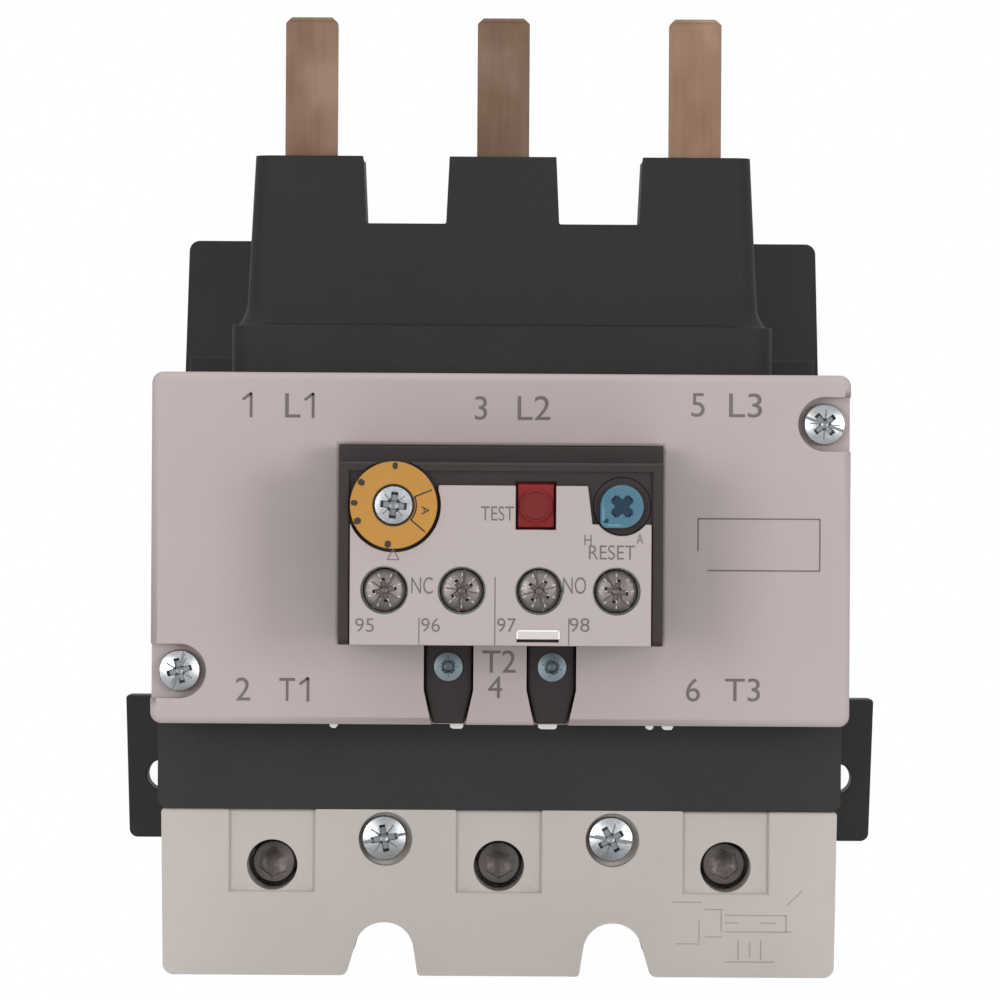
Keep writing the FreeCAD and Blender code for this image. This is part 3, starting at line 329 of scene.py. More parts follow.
def runs_on(edge, other, vert):
    """Whether an edge carries on in about the same direction as another at a vertex."""
    here = vert.co - edge.other_vert(vert).co
    ahead = other.other_vert(vert).co - vert.co
    return here.angle(ahead, 3.0) < math.radians(RUN_ANGLE)


def chain_of(edge, rooms):
    """The outer edges that carry an edge on at both its ends."""
    chain = [edge]
    known = {edge}
    for here in chain:
        for vert in here.verts:
            for other in vert.link_edges:
                if other in rooms and other not in known and runs_on(here, other, vert):
                    known.add(other)
                    chain.append(other)
    return chain


def weigh_edges(work, width):
    """Gives each run of outer edges the rounding that the faces beside it have room for."""
    weights = work.edges.layers.float.new("bevel_weight_edge")
    rooms = {}
    for edge in work.edges:
        if len(edge.link_faces) == 2 and edge.calc_face_angle_signed(0.0) > math.radians(SHARP_ANGLE):
            rooms[edge] = min(room_across(edge, face) for face in edge.link_faces)
    done = set()
    for edge in rooms:
        if edge in done:
            continue
        chain = chain_of(edge, rooms)
        done.update(chain)
        room = min(rooms[one] for one in chain)
        for one in chain:
            one[weights] = min(1.0, ROOM_USED * room / (width * MM))


def strays(piece, surface):
    """Points of a rounded piece that stand away from the surface that it was made from."""
    graph = bpy.context.evaluated_depsgraph_get()
    found = []
    for vert in piece.evaluated_get(graph).to_mesh().vertices:
        place, normal, index, distance = surface.find_nearest(vert.co)
        outside = (vert.co - place).dot(normal) > 0
        if distance > STRAY_ANYWHERE * MM or (outside and distance > STRAY_OUTSIDE * MM):
            found.append((vert.co.copy(), distance * 1.6 + 0.5 * MM))
    return found


def keep_close(piece, surface):
    """Leaves edges sharp where their rounding would stand away from the surface."""
    for attempt in range(ROUNDING_TRIES):
        found = strays(piece, surface)
        weights = piece.data.attributes["bevel_weight_edge"].data
        for edge in piece.data.edges:
            ends = [piece.data.vertices[i].co for i in edge.vertices]
            if any((end - point).length < reach for end in ends for point, reach in found):
                weights[edge.index].value = 0.0
        piece.data.update()
        if not found:
            return


def node_form(name, width):
    """A node's own form with clean faces and rounded outer edges, which stands for the node."""
    slot = slot_of(name)
    mesh = nodes[name].data.copy()
    mesh.name = name + "_form"
    work = bmesh.new()
    work.from_mesh(mesh)
    bmesh.ops.remove_doubles(work, verts=work.verts, dist=WELD * MM)
    bmesh.ops.dissolve_degenerate(work, edges=work.edges, dist=WELD * MM)
    work.normal_update()
    merge_flat(work)
    work.normal_update()
    weigh_edges(work, width)
    for face in work.faces:
        face.material_index = 0
    work.to_mesh(mesh)
    work.free()
    piece = link(name + "_form", mesh, MATERIALS[slot])
    smooth(mesh, SHARP_ANGLE)
    edge = piece.modifiers.new("edge", "BEVEL")
    edge.width = width * MM
    edge.segments = ROUNDING_STEPS
    edge.limit_method = "WEIGHT"
    edge.use_clamp_overlap = False
    source = nodes[name].data
    places = [vert.co[:] for vert in source.vertices]
    surface = BVHTree.FromPolygons(places, [face.vertices[:] for face in source.polygons])
    keep_close(piece, surface)
    even = piece.modifiers.new("even", "WEIGHTED_NORMAL")
    even.keep_sharp = True
    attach(piece, nodes[name]["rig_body"])
    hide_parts(name)
    return piece


def slot_of(name):
    """The record's material slot for a node."""
    for entry in frame["record"]["subparts"]:
        if entry["node"] == name:
            return entry["material_slot"]


def mesh_from(name, points, faces):
    mesh = bpy.data.meshes.new(name)
    mesh.from_pydata([Vector(p) * MM for p in points], [], faces)
    mesh.update()
    return mesh


def lathe_mesh(name, centre, profile, steps=64):
    """A round form about an axis along Y, from (radius, depth) points, closed where the radius is 0."""
    points = []
    rings = []
    for radius, depth in profile:
        if radius == 0:
            rings.append([len(points)])
            points.append((centre[0], depth, centre[1]))
            continue
        ring = []
        for i in range(steps):
            turn = 2 * math.pi * i / steps
            ring.append(len(points))
            points.append((centre[0] + radius * math.cos(turn), depth, centre[1] + radius * math.sin(turn)))
        rings.append(ring)
    faces = []
    for here, ahead in zip(rings, rings[1:]):
        for i in range(steps):
            j = (i + 1) % steps
            if len(here) == 1:
                faces.append((here[0], ahead[i], ahead[j]))
            elif len(ahead) == 1:
                faces.append((here[j], here[i], ahead[0]))
            else:
                faces.append((here[i], ahead[i], ahead[j], here[j]))
    return mesh_from(name, points, faces)


def prism_mesh(name, outline, front, back, shrink=1.0):
    """An outline of (x, z) points pushed from front to back, its back face scaled about its middle."""
    middle = [sum(p[k] for p in outline) / len(outline) for k in (0, 1)]
    points = [(x, front, z) for x, z in outline]
    for x, z in outline:
        points.append((middle[0] + (x - middle[0]) * shrink, back, middle[1] + (z - middle[1]) * shrink))
    count = len(outline)
    faces = [tuple(range(count)), tuple(reversed(range(count, 2 * count)))]
    for i in range(count):
        j = (i + 1) % count
        faces.append((i, count + i, count + j, j))
    return mesh_from(name, points, faces)


def even_normals(mesh):
    work = bmesh.new()
    work.from_mesh(mesh)
    bmesh.ops.recalc_face_normals(work, faces=work.faces)
    work.to_mesh(mesh)
    work.free()


def carve(piece, cutters, finish=None):
    """Cuts a list of meshes out of a piece, the cut faces in a finish of their own if one is given."""
    for mesh in cutters:
        even_normals(mesh)
        mesh.materials.append(finish or piece.data.materials[0])
        tool = bpy.data.objects.new("cutter", mesh)
        bpy.context.scene.collection.objects.link(tool)
        step = piece.modifiers.new("carve", "BOOLEAN")
        step.object = tool
        step.operation = "DIFFERENCE"
        step.solver = "EXACT"
        step.material_mode = "TRANSFER"
        graph = bpy.context.evaluated_depsgraph_get()
        result = bpy.data.meshes.new_from_object(piece.evaluated_get(graph))
        piece.modifiers.remove(step)
        result.name = piece.data.name
        piece.data = result
        bpy.data.objects.remove(tool)


def cross_outline(centre, reach, width, turn):
    """A cross of four arms, as an outline."""
    half = width / 2
    corner = [(reach, -half), (reach, half), (half, half)]
    outline = []
    for quarter in range(4):
        angle = math.radians(turn + 90 * quarter)
        for x, z in corner:
            outline.append((centre[0] + x * math.cos(angle) - z * math.sin(angle),
                            centre[1] + x * math.sin(angle) + z * math.cos(angle)))
    return outline


def bar_outline(centre, length, width, turn):
    """A rectangle about a point, as an outline."""
    angle = math.radians(turn)
    outline = []
    for x, z in ((-length, -width), (length, -width), (length, width), (-length, width)):
        outline.append((centre[0] + (x * math.cos(angle) - z * math.sin(angle)) / 2,
                        centre[1] + (x * math.sin(angle) + z * math.cos(angle)) / 2))
    return outline


def screw_head(name, centre, front, back, radius, material, turn=0.0, dome=0.5, slot_turn=None,
               arms=(0.66, 0.3), recess=SHADED_ZINC, sink=0.4):
    """Pan screw head with a tapered cross recess, marked between its arms, and a cross slot if asked."""
    edge = min(0.45, (back - front) * 0.3)
    profile = [(0, front)]
    for i in range(1, 7):
        r = radius * 0.82 * i / 6
        profile.append((r, front + dome * (i / 6) ** 2 * 0.55))
    profile += [(radius - edge * 0.35, front + dome * 0.75), (radius, front + dome + edge)]
    profile += [(radius, back), (0, back)]
    mesh = lathe_mesh(name, centre, profile)
    even_normals(mesh)
    piece = link(name, mesh, material)
    depth = (back - front) * sink
    reach, width = arms
    above = front - CUT_LEAD
    cross = cross_outline(centre, radius * reach, radius * width, turn)
    cutters = [prism_mesh("cross", cross, above, front + depth, 0.72)]
    cutters.append(lathe_mesh("well", centre, [(0, above), (radius * width * 1.1, above),
                                               (radius * width * 0.6, front + depth + 0.15),
                                               (0, front + depth + 0.3)], 24))
    marks = cross_outline(centre, radius * 0.72, radius * 0.07, turn + 45)
    cutters.append(prism_mesh("marks", marks, above, front + dome * 0.55 + 0.12))
    if slot_turn is not None:
        slot = bar_outline(centre, radius * 2.2, radius * 0.14, slot_turn)
        cutters.append(prism_mesh("slot", slot, above, front + dome * 0.8 + 0.18))
    carve(piece, cutters, recess)
    smooth(piece.data, 28.0)
    return piece


def settle(piece, slot, body, *stands_for):
    """Gives a piece its body and hides the nodes that it stands for; the slot is not used."""
    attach(piece, body)
    if stands_for:
        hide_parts(*stands_for)
    return piece


def put(name, mesh, material, slot, body):
    """Makes a settled piece of a closed mesh, its faces turned outwards."""
    even_normals(mesh)
    return settle(link(name, mesh, material), slot, body)


def thread_mesh(name, centre, radius, pitch, start, end, steps=48):
    """A helical thread between two closed ends."""
    rows = max(2, int((end - start) / pitch * 8))
    depth = pitch * 0.5
    points = []
    for row in range(rows + 1):
        y = start + (end - start) * row / rows
        for i in range(steps):
            turn = 2 * math.pi * i / steps
            phase = ((y - start) / pitch - i / steps) % 1.0
            r = radius - depth * abs(2 * phase - 1)
            if row in (0, rows):
                r = radius - depth
            points.append((centre[0] + r * math.cos(turn), y, centre[1] + r * math.sin(turn)))
    faces = []
    for row in range(rows):
        for i in range(steps):
            j = (i + 1) % steps
            a = row * steps
            faces.append((a + i, a + steps + i, a + steps + j, a + j))
    faces.append(tuple(range(steps)))
    faces.append(tuple(reversed(range(rows * steps, (rows + 1) * steps))))
    return mesh_from(name, points, faces)


def join(target, *others):
    """Adds other meshes to a piece."""
    work = bmesh.new()
    work.from_mesh(target.data)
    for mesh in others:
        work.from_mesh(mesh)
    work.to_mesh(target.data)
    work.free()


def lettering(name, text, centre, front, height, width=None, turn=0.0, material=INK, slot="label_gray",
              body="relay", weight=0.0):
    """Printed letters a hair proud of a face, set to a height and width in millimetres."""
    curve = bpy.data.curves.new(name, "FONT")
    curve.body = text
    curve.extrude = 0.5
    curve.offset = weight
    source = bpy.data.objects.new(name + "_curve", curve)
    bpy.context.scene.collection.objects.link(source)
    graph = bpy.context.evaluated_depsgraph_get()
    mesh = bpy.data.meshes.new_from_object(source.evaluated_get(graph))
    bpy.data.objects.remove(source)
    xs = [v.co.x for v in mesh.vertices]
    ys = [v.co.y for v in mesh.vertices]
    tall = height / (max(ys) - min(ys))
    wide = width / (max(xs) - min(xs)) if width else tall
    middle = Vector(((max(xs) + min(xs)) / 2, (max(ys) + min(ys)) / 2, 0))
    angle = math.radians(turn)
    for vertex in mesh.vertices:
        local = vertex.co - middle
        x = local.x * wide
        z = local.y * tall
        depth = front + (PRINT_RAISE if local.z < 0 else -PRINT_RAISE)
        place = (centre[0] + x * math.cos(angle) - z * math.sin(angle), depth,
                 centre[1] + x * math.sin(angle) + z * math.cos(angle))
        vertex.co = Vector(place) * MM
    return put(name, mesh, material, slot, body)


def strokes(name, segments, front, width, material=INK, slot="label_gray", body="relay"):
    """Printed straight lines, as ((x, z), (x, z)) pairs, with chamfered ends."""
    points = []
    faces = []
    half = width / 2
    for start, end in segments:
        run = Vector((end[0] - start[0], end[1] - start[1]))
        along = run.normalized() * half
        side = Vector((-along.y, along.x))
        a = Vector(start)
        b = Vector(end)
        outline = [a - side, b - side, b + along * 0.6, b + side, a + side, a - along * 0.6]
        base = len(points)
        for depth in (front - PRINT_RAISE, front + PRINT_RAISE):
            points += [(p.x, depth, p.y) for p in outline]
        faces.append(tuple(base + i for i in range(6)))
        faces.append(tuple(base + 11 - i for i in range(6)))
        for i in range(6):
            j = (i + 1) % 6
            faces.append((base + i, base + 6 + i, base + 6 + j, base + j))
    return put(name, mesh_from(name, points, faces), material, slot, body)


# Mouldings

node_form("base_housing", 0.5)
node_form("main_housing", 0.5)
node_form("front_cover", 0.5)
node_form("terminal_shroud", 0.5)
upper = node_form("prong_shroud", 0.5)
# Painted shade: a darker copy of the black plastic on the prong shroud, to match the band that lies in the
# cover's shade.
upper.data.materials[0] = plastic("prong_moulding_painted_shade", (0.0165, 0.016, 0.0155), 0.62, 0.10, 0.10, 0.25)
node_form("head_housing", 0.25)
node_form("label_plate", 0.15)
for pole in POLES:
    bar = node_form("prong_bar_%d" % (pole + 2), 0.45)
    bar.data.materials[0] = copper("copper_bar_%d" % (pole + 2), PRONG_TONES[pole])
node_form("setting_dial", 0.15)
node_form("test_button", 0.2)
node_form("reset_collar", 0.15)
node_form("reset_knob", 0.2)
for pole in POLES:
    node_form("terminal_cage_%d" % (pole + 2), 0.3)

# Screws

for side, x, z, turn, slot_turn in (("right", 46.3, 54.2, 40.0, -20.0), ("left", -45.9, 18.4, 15.0, 75.0)):
    head = screw_head("cover_screw_" + side, (x, z), -88.6, -86.0, 3.0, MATERIALS["zinc_steel"], turn,
                      slot_turn=slot_turn)
    settle(head, "zinc_steel", "relay")
for side, x, turn, slot_turn in (("left", -16.8, 10.0, 12.0), ("right", 16.4, 30.0, -8.0)):
    head = screw_head("shroud_screw_" + side, (x, -6.5), -68.1, -65.8, 3.3, MATERIALS["zinc_steel"], turn,
                      slot_turn=slot_turn)
    settle(head, "zinc_steel", "relay")
for side, x, turn in (("left", -7.4, 45.0), ("right", 7.45, 30.0)):
    head = screw_head("head_screw_" + side, (x, 19.2), -88.9, TONGUE_FRONT, 2.1, BLUE_ZINC, turn, 0.2,
                      arms=(0.6, 0.5), recess=SHADED_BLUE)
    settle(head, "zinc_steel", "relay")


def radial_lines(name, centre, front, radius, angles, reach, width, material, slot, body):
    """Straight lines that point away from a centre, between two shares of a radius."""
    segments = []
    for angle in angles:
        turn = math.radians(angle)
        ends = [(centre[0] + radius * share * math.cos(turn), centre[1] + radius * share * math.sin(turn))
                for share in reach]
        segments.append(tuple(ends))
    return strokes(name, segments, front, width, material, slot, body)


for index, mark in enumerate(("95", "96", "97", "98")):
    low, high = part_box("aux_screw_" + mark)
    centre = ((low.x + high.x) / 2 / MM, AUX_Z)
    front = low.y / MM
    head_back = front + AUX_HEAD_DEPTH
    body = nodes["aux_screw_" + mark]["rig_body"]
    turn = 12.0 + 23.0 * index
    piece = screw_head("aux_screw_%s_form" % mark, centre, front, head_back, AUX_HEAD_RADIUS, SHADED_AUX_STEEL,
                       turn, 0.4, turn + 45.0, (0.62, 0.26), SHADED_STEEL, 0.22)
    shank = thread_mesh("shank", centre, 1.5, 0.6, head_back, high.y / MM)
    even_normals(shank)
    join(piece, shank)
    smooth(piece.data, 30.0)
    settle(piece, "zinc_steel", body, "aux_screw_" + mark)
    # Painted glints: bright radial strokes on each aux screw head, where the recess edges would catch light.
    angles = [turn + 9 + 45 * i for i in range(8)]
    radial_lines("aux_screw_%s_burrs" % mark, centre, front + 0.17, AUX_HEAD_RADIUS, angles, (0.42, 0.8),
                 0.16, PAINTED_GLINT, "zinc_steel", body)

for pole in POLES:
    name = "clamp_screw_%d" % (pole + 2)
    low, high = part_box(name)
    centre = (pole * TERMINAL_PITCH, TERMINAL_Z)
    front = low.y / MM
    head_back = front + CLAMP_HEAD_DEPTH
    profile = [(0, front), (2.95, front), (CLAMP_HEAD_RADIUS, front + 0.3), (CLAMP_HEAD_RADIUS, front + 4.6),
               (2.8, head_back), (0, head_back)]
    head = lathe_mesh(name + "_form", centre, profile)
    even_normals(head)
    piece = link(name + "_form", head, MATERIALS["dark_steel"])
    angles = [math.radians(60 * i + 30 + 9 * pole) for i in range(6)]
    circle = SOCKET_WIDTH / math.sqrt(3)
    socket = [(centre[0] + circle * math.cos(a), centre[1] + circle * math.sin(a)) for a in angles]
    point = lathe_mesh("point", centre, [(0, front + 1.4), (1.9, front + 1.4), (0, front + 2.2)], 24)
    carve(piece, [prism_mesh("socket", socket, front - CUT_LEAD, front + 1.6), point])
    thread = thread_mesh("thread", centre, 3.15, 1.0, head_back, high.y / MM)
    even_normals(thread)
    join(piece, thread)
    smooth(piece.data, 30.0)
    settle(piece, "dark_steel", nodes[name]["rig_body"], name)

low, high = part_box("dial_insert")
insert = screw_head("dial_insert_form", DIAL, low.y / MM, high.y / MM, 2.75, MATERIALS["zinc_steel"], -6.0,
                    0.15, arms=(0.72, 0.38), sink=0.5)
settle(insert, "zinc_steel", nodes["dial_insert"]["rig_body"], "dial_insert")

# Buttons

low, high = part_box("test_button")
touch = ((low.x + high.x) / 2 / MM, (low.z + high.z) / 2 / MM)


def circle_lines(centre, radius, start, end, count):
    """Short straight lines round a centre from one angle to another."""
    places = []
    for i in range(count + 1):
        turn = math.radians(start + (end - start) * i / count)
        places.append((centre[0] + radius * math.cos(turn), centre[1] + radius * math.sin(turn)))
    return list(zip(places, places[1:]))


test_front = low.y / MM
test_body = nodes["test_button"]["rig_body"]
# Painted shade: a dark ring round the edge of the test button's dimple.
strokes("test_ring_shade", circle_lines(touch, 1.9, 0, 360, 40), test_front, 0.16, RED_SHADE, "red_plastic",
        test_body)
# Painted shade: a darker disc over the test button's dimple.
disc = lathe_mesh("test_dimple_shade", touch, [(0, test_front - 0.02), (1.75, test_front - 0.02),
                                        (1.75, test_front + PRINT_RAISE), (0, test_front + PRINT_RAISE)])
put("test_dimple_shade", disc, RED_DIMPLE_SHADE, "red_plastic", test_body)
low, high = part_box("reset_knob")
knob_front = low.y / MM
knob_body = nodes["reset_knob"]["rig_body"]
# Painted shade: the knob's recessed cross as a dark blue sheet on its face; the arrow mark is drawn in the
# same colour.
cross = prism_mesh("knob_cross_shade", cross_outline(RESET, 1.55, 1.35, 45.0), knob_front - PRINT_RAISE,
                   knob_front + PRINT_RAISE, 0.9)
put("knob_cross_shade", cross, BLUE_SHADE, "blue_plastic", knob_body)
# Painted highlight: a pale stroke round the rim of the reset knob.
rim = high.x / MM - RESET[0] - 0.4
corner = [(RESET[0] - rim, RESET[1]), (RESET[0] - rim, RESET[1] - rim + 0.5),
          (RESET[0] - rim + 0.5, RESET[1] - rim), (RESET[0], RESET[1] - rim)]
highlight_lines = circle_lines(RESET, rim, -90, 180, 36) + list(zip(corner, corner[1:]))
strokes("knob_rim_highlight", highlight_lines, knob_front + 0.01, 0.3, BLUE_RIM_HIGHLIGHT, "blue_plastic", knob_body)
arrow = [((RESET[0] - 2.35, RESET[1] - 2.2), (RESET[0] - 2.0, RESET[1] - 1.85))]
strokes("knob_arrow", arrow, knob_front, 0.5, BLUE_SHADE, "blue_plastic", knob_body)

# Springs

def coil_point(low, high, axis, wire, turns, share, around):
    """A point on a coil's wire: share runs along the coil and around turns about the wire."""
    across = [k for k in range(3) if k != axis]
    turn = 2 * math.pi * turns * share
    radius = (high[across[0]] - low[across[0]]) / 2 - wire / 2 + wire / 2 * math.cos(around)
    point = [0.0, 0.0, 0.0]
    point[across[0]] = (low[across[0]] + high[across[0]]) / 2 + radius * math.cos(turn)
    point[across[1]] = (low[across[1]] + high[across[1]]) / 2 + radius * math.sin(turn)
    point[axis] = low[axis] + wire / 2 + (high[axis] - low[axis] - wire) * share + wire / 2 * math.sin(around)
    return point


def spring_form(name, axis, wire=0.5, turns=4, moving_low=True):
    """Coil spring that fills its node's box along one axis and stands for the node."""
    low, high = (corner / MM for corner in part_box(name))
    steps = 24 * turns
    sides = 10
    points = [coil_point(low, high, axis, wire, turns, i / steps, 2 * math.pi * j / sides)
              for i in range(steps + 1) for j in range(sides)]
    faces = []
    for here in range(0, steps * sides, sides):
        ahead = here + sides
        for j in range(sides):
            k = (j + 1) % sides
            faces.append((here + j, here + k, ahead + k, ahead + j))
    faces += [tuple(range(sides)), tuple(reversed(range(steps * sides, (steps + 1) * sides)))]
    mesh = mesh_from(name + "_form", points, faces)
    even_normals(mesh)
    smooth(mesh)
    piece = link(name + "_form", mesh, MATERIALS["spring_steel"])
    ends = [low * MM, high * MM]
    if not moving_low:
        ends.reverse()
    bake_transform(piece)
    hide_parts(name)


spring_form("test_spring", 1)
spring_form("reset_spring", 1)
spring_form("carrier_spring", 2, turns=3, moving_low=False)

# Lettering on the cover

COVER_MARKS = {
    "1": (-36.09, 56.46, 3.4, None), "L1": (-28.73, 56.43, 3.45, 4.4), "3": (-2.94, 56.23, 3.4, None),
    "L2": (4.64, 56.28, 3.45, 4.7), "5": (28.07, 56.85, 3.4, None), "L3": (34.86, 56.82, 3.45, 4.7),
    "2": (-36.7, 15.87, 3.3, None), "T1": (-29.27, 15.84, 3.3, 4.5), "T2": (-0.14, 20.02, 3.2, 4.8),
    "4": (-0.69, 16.37, 3.1, None), "6": (27.6, 16.12, 3.3, None), "T3": (34.68, 16.16, 3.3, 5.0),
}
for text, (x, z, height, width) in COVER_MARKS.items():
    letters = text.replace("1", "")
    if letters:
        share = 1.0 if letters == text else 0.5
        shift = 0.0 if letters == text else -width / 4
        lettering("mark_" + text, letters, (x + shift, z), COVER_FRONT, height, width and width * share,
                  slot="cover_gray")
    if letters != text:
        stem = x + (width / 2 - 0.4 if letters else 0.3)
        strokes("one_of_" + text, [((stem, z - height / 2), (stem, z + height / 2)),
                                   ((stem, z + height / 2), (stem - 1.15, z + height * 0.24))],
                COVER_FRONT, 0.42, slot="cover_gray")
strokes("cover_outline", [((28.2, 36.0), (28.2, 40.6)), ((28.2, 40.6), (45.6, 40.6)),
                          ((45.6, 40.6), (45.6, 33.2)), ((45.6, 33.2), (29.6, 33.2))],
        COVER_FRONT, 0.2, slot="cover_gray")

# Lettering on the face plate

FACE_MARKS = {
    "TEST": (-0.47, 41.23, 2.0, 4.6), "RESET": (15.43, 35.92, 2.0, 6.4), "H": (12.09, 37.63, 1.5, 1.0),
    "A": (19.29, 37.81, 1.4, 0.95), "NC": (-10.87, 31.19, 2.3, 3.0), "NO": (10.26, 31.31, 2.3, 3.2),
    "95": (-18.81, 25.66, 1.9, 2.6), "96": (-9.66, 25.72, 1.9, 2.6), "97": (0.87, 25.78, 1.9, 2.6),
    "98": (10.98, 25.85, 1.9, 2.8),
}
for text, (x, z, height, width) in FACE_MARKS.items():
    lettering("face_" + text, text, (x, z), LABEL_FRONT, height, width, weight=-0.004)
strokes("face_lines", [((-11.26, 26.7), (-11.26, 23.0)), ((9.5, 26.8), (9.5, 23.0)),
                       ((-0.75, 32.4), (-0.75, 23.0))], LABEL_FRONT, 0.14)
strokes("dial_pointer", [((-15.7, 34.75), (-14.1, 34.75)), ((-15.7, 34.75), (-14.9, 36.2)),
                         ((-14.1, 34.75), (-14.9, 36.2))], LABEL_FRONT, 0.14)

# Clip under the face plate and hook tips of the cover

clip = prism_mesh("label_clip", [(2.5, 23.85), (8.0, 23.85), (8.2, 24.05), (8.2, 24.9), (8.05, 25.05),
                                 (2.45, 25.05), (2.3, 24.9), (2.3, 24.05)],
                  LABEL_FRONT - CLIP_RAISE, LABEL_FRONT + 0.1, 0.98)
put("label_clip", clip, PALE_PLASTIC, "label_gray", "relay")
# Painted highlight: a white stroke along the top and sides of the clip's raised rounded border.
strokes("label_clip_rim_highlight", [((2.35, 23.9), (2.35, 25.0)), ((2.35, 25.0), (8.15, 25.0)),
                           ((8.15, 25.0), (8.15, 23.9))], LABEL_FRONT - CLIP_RAISE, 0.2, WHITE_TIPS_AND_HIGHLIGHT)


def hook_tip(name, x, edge, reach, width):
    """White hook tip that shows at the cover's edge, tapered away from it."""
    half = width / 2
    outline = [(x - half, edge), (x + half, edge), (x + half, edge + reach * 0.6),
               (x + half - 0.25, edge + reach), (x - half + 0.4, edge + reach), (x - half, edge + reach * 0.7)]
    mesh = prism_mesh(name, outline, HOOK_FRONT, HOOK_BACK, 0.95)
    put(name, mesh, WHITE_TIPS_AND_HIGHLIGHT, "white_plastic", "relay")


low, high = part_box("front_cover")
for index, (x, width) in enumerate(((-23.95, 1.1), (-6.2, 1.9), (6.9, 2.7), (21.6, 1.1), (24.2, 1.6))):
    hook_tip("lower_hook_%d" % index, x, low.z / MM, -0.8, width)
for index, x in enumerate((-6.9, 6.8)):
    hook_tip("upper_hook_%d" % index, x, high.z / MM, 0.85, 2.0)

# Dial marks

dial_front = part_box("setting_dial")[0].y / MM
DIAL_PRINT = (DARK_INK, "orange_plastic", "dial")
for index, (angle, size) in enumerate(((88, 0.7), (145, 0.85), (177, 0.75), (204, 0.9), (262, 0.85))):
    radial_lines("dial_mark_%d" % index, DIAL, dial_front, 5.55, [angle], (0.93, 1.04), size, *DIAL_PRINT)
radial_lines("dial_rays", DIAL, dial_front, 5.7, (22.0, -40.0), (0.54, 1.0), 0.2, *DIAL_PRINT)
lettering("dial_unit", "A", (DIAL[0] + 4.4, DIAL[1] - 0.7), dial_front, 1.1, 1.2, -90.0, *DIAL_PRINT)
strokes("dial_arc", circle_lines(DIAL, 3.15, -40, 22, 12), dial_front, 0.2, *DIAL_PRINT)
strokes("dial_seat", circle_lines(DIAL, 2.85, 0, 360, 40), dial_front, 0.22, *DIAL_PRINT)

# Faint line diagram on the terminal shroud

DIAGRAM = [
    ((25.4, -15.6), (29.7, -15.6)), ((30.2, -16.65), (32.9, -16.65)), ((33.15, -17.5), (42.2, -17.5)),
    ((33.2, -18.6), (35.0, -18.6)), ((38.4, -18.6), (40.5, -18.6)), ((33.2, -19.9), (43.0, -19.9)),
    ((30.25, -20.65), (32.7, -20.65)), ((26.0, -21.7), (29.5, -21.7)), ((29.35, -18.2), (29.35, -21.4)),
    ((32.6, -16.9), (32.6, -19.9)), ((42.1, -17.5), (42.1, -19.9)), ((35.1, -21.1), (35.1, -24.0)),
    ((36.8, -21.4), (36.8, -23.6)), ((38.4, -21.1), (38.4, -24.0)), ((33.2, -24.3), (40.4, -24.3)),
    ((42.2, -16.0), (44.5, -13.8)),
]
strokes("shroud_diagram", DIAGRAM, SHROUD_FRONT, 0.16, FAINT_INK, "shroud_gray")

# Carried-over nodes

for name, node in nodes.items():
    if "materials" in dir(node.data):
        node.data.materials.clear()
        node.data.materials.append(MATERIALS[slot_of(name)])

# Stage, light and camera

floor_z = cad_box[0][2]
floor_mesh = bpy.data.meshes.new("floor")
floor_corners = [(-6, -4, floor_z), (6, -4, floor_z), (6, 8, floor_z), (-6, 8, floor_z)]
floor_mesh.from_pydata(floor_corners, [], [(0, 1, 2, 3)])
floor_material, floor_tree, floor_bsdf = blank("pale_floor")
floor_bsdf.inputs["Base Color"].default_value = (0.86, 0.86, 0.86, 1)
floor_bsdf.inputs["Roughness"].default_value = 0.9
glow = floor_tree.nodes.new("ShaderNodeEmission")
glow.inputs["Strength"].default_value = 1.0
mix = floor_tree.nodes.new("ShaderNodeMixShader")
path = floor_tree.nodes.new("ShaderNodeLightPath")
floor_tree.links.new(path.outputs["Is Camera Ray"], mix.inputs["Fac"])
floor_tree.links.new(floor_bsdf.outputs[0], mix.inputs[1])
floor_tree.links.new(glow.outputs[0], mix.inputs[2])
floor_tree.links.new(mix.outputs[0], floor_tree.nodes["Material Output"].inputs["Surface"])
floor = bpy.data.objects.new("floor", floor_mesh)
floor_mesh.materials.append(floor_material)
bpy.context.scene.collection.objects.link(floor)

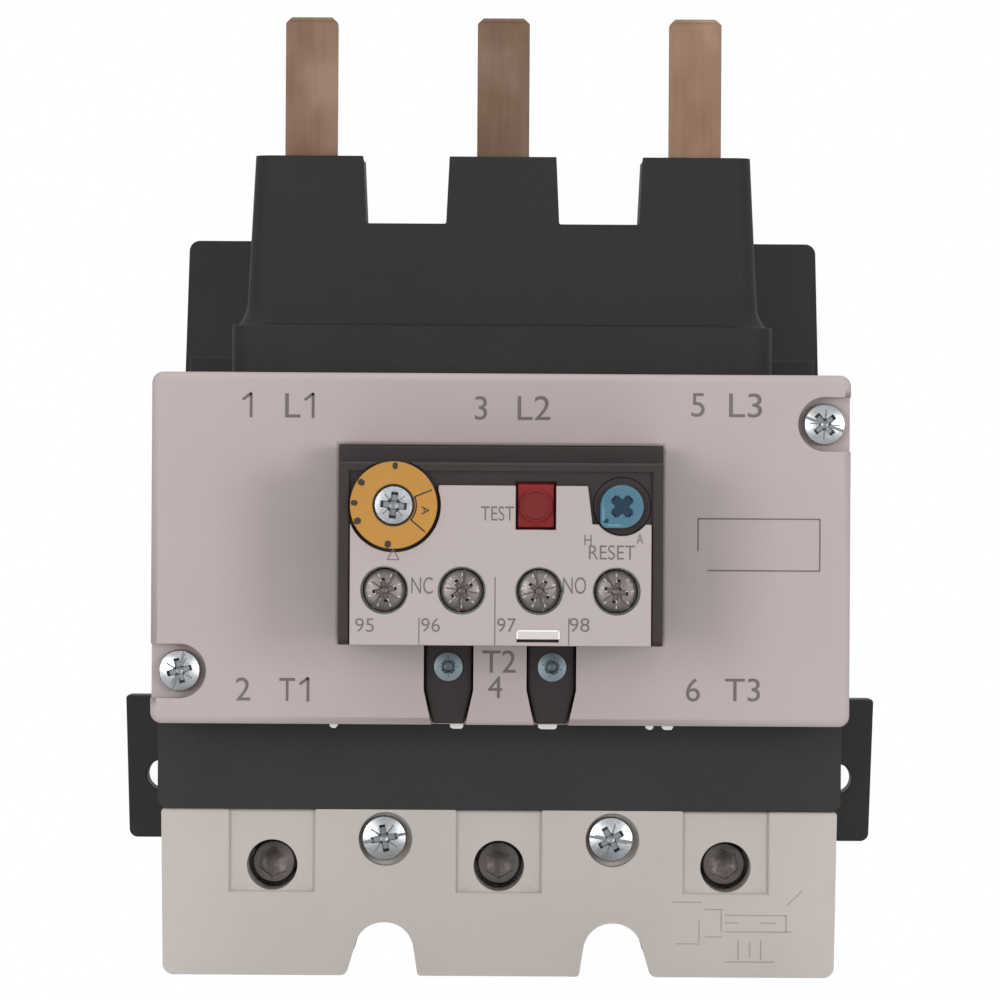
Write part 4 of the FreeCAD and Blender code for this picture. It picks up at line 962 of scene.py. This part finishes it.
world = bpy.data.worlds.new("studio")
bpy.context.scene.world = world
world.use_nodes = True
tree = world.node_tree
tree.nodes.clear()
output = tree.nodes.new("ShaderNodeOutputWorld")
ambient = tree.nodes.new("ShaderNodeBackground")
ambient.inputs["Color"].default_value = (1, 1, 1, 1)
ambient.inputs["Strength"].default_value = 0.62
backdrop = tree.nodes.new("ShaderNodeBackground")
backdrop.inputs["Color"].default_value = (1, 1, 1, 1)
backdrop.inputs["Strength"].default_value = 1.0
path = tree.nodes.new("ShaderNodeLightPath")
first = tree.nodes.new("ShaderNodeMath")
first.operation = "MAXIMUM"
second = tree.nodes.new("ShaderNodeMath")
second.operation = "MAXIMUM"
blend = tree.nodes.new("ShaderNodeMixShader")
tree.links.new(path.outputs["Is Camera Ray"], first.inputs[0])
tree.links.new(path.outputs["Is Glossy Ray"], first.inputs[1])
tree.links.new(first.outputs[0], second.inputs[0])
tree.links.new(path.outputs["Is Transmission Ray"], second.inputs[1])
tree.links.new(second.outputs[0], blend.inputs["Fac"])
tree.links.new(ambient.outputs[0], blend.inputs[1])
tree.links.new(backdrop.outputs[0], blend.inputs[2])
tree.links.new(blend.outputs[0], output.inputs["Surface"])


def lamp(name, place, target, size, power):
    """A soft square lamp aimed at a point."""
    data = bpy.data.lights.new(name, "AREA")
    data.size = size
    data.energy = power
    light = bpy.data.objects.new(name, data)
    light.location = place
    light.rotation_mode = "QUATERNION"
    light.rotation_quaternion = (Vector(target) - Vector(place)).to_track_quat("-Z", "Y")
    bpy.context.scene.collection.objects.link(light)


middle = (0, -0.06, 0.04)
lamp("key", (-0.42, -1.1, 0.1), middle, 0.3, 2.7)
lamp("fill", (0.5, -1.1, 0.08), middle, 0.28, 3.1)
lamp("top", (0.0, -0.12, 1.2), middle, 0.9, 3.6)

camera_data = bpy.data.cameras.new("camera")
camera_data.lens = 229.25
camera_data.sensor_width = 36.0
camera_data.shift_x = -0.001
camera_data.clip_start = 0.05
camera = bpy.data.objects.new("camera", camera_data)
camera.matrix_world = (Matrix.Translation((0, -1.0, 0.0431)) @ Matrix.Rotation(math.radians(90), 4, "X")
                       @ Matrix.Rotation(math.radians(0.35), 4, "Z"))
bpy.context.scene.collection.objects.link(camera)
bpy.context.scene.camera = camera
bpy.context.scene.view_settings.view_transform = "Standard"
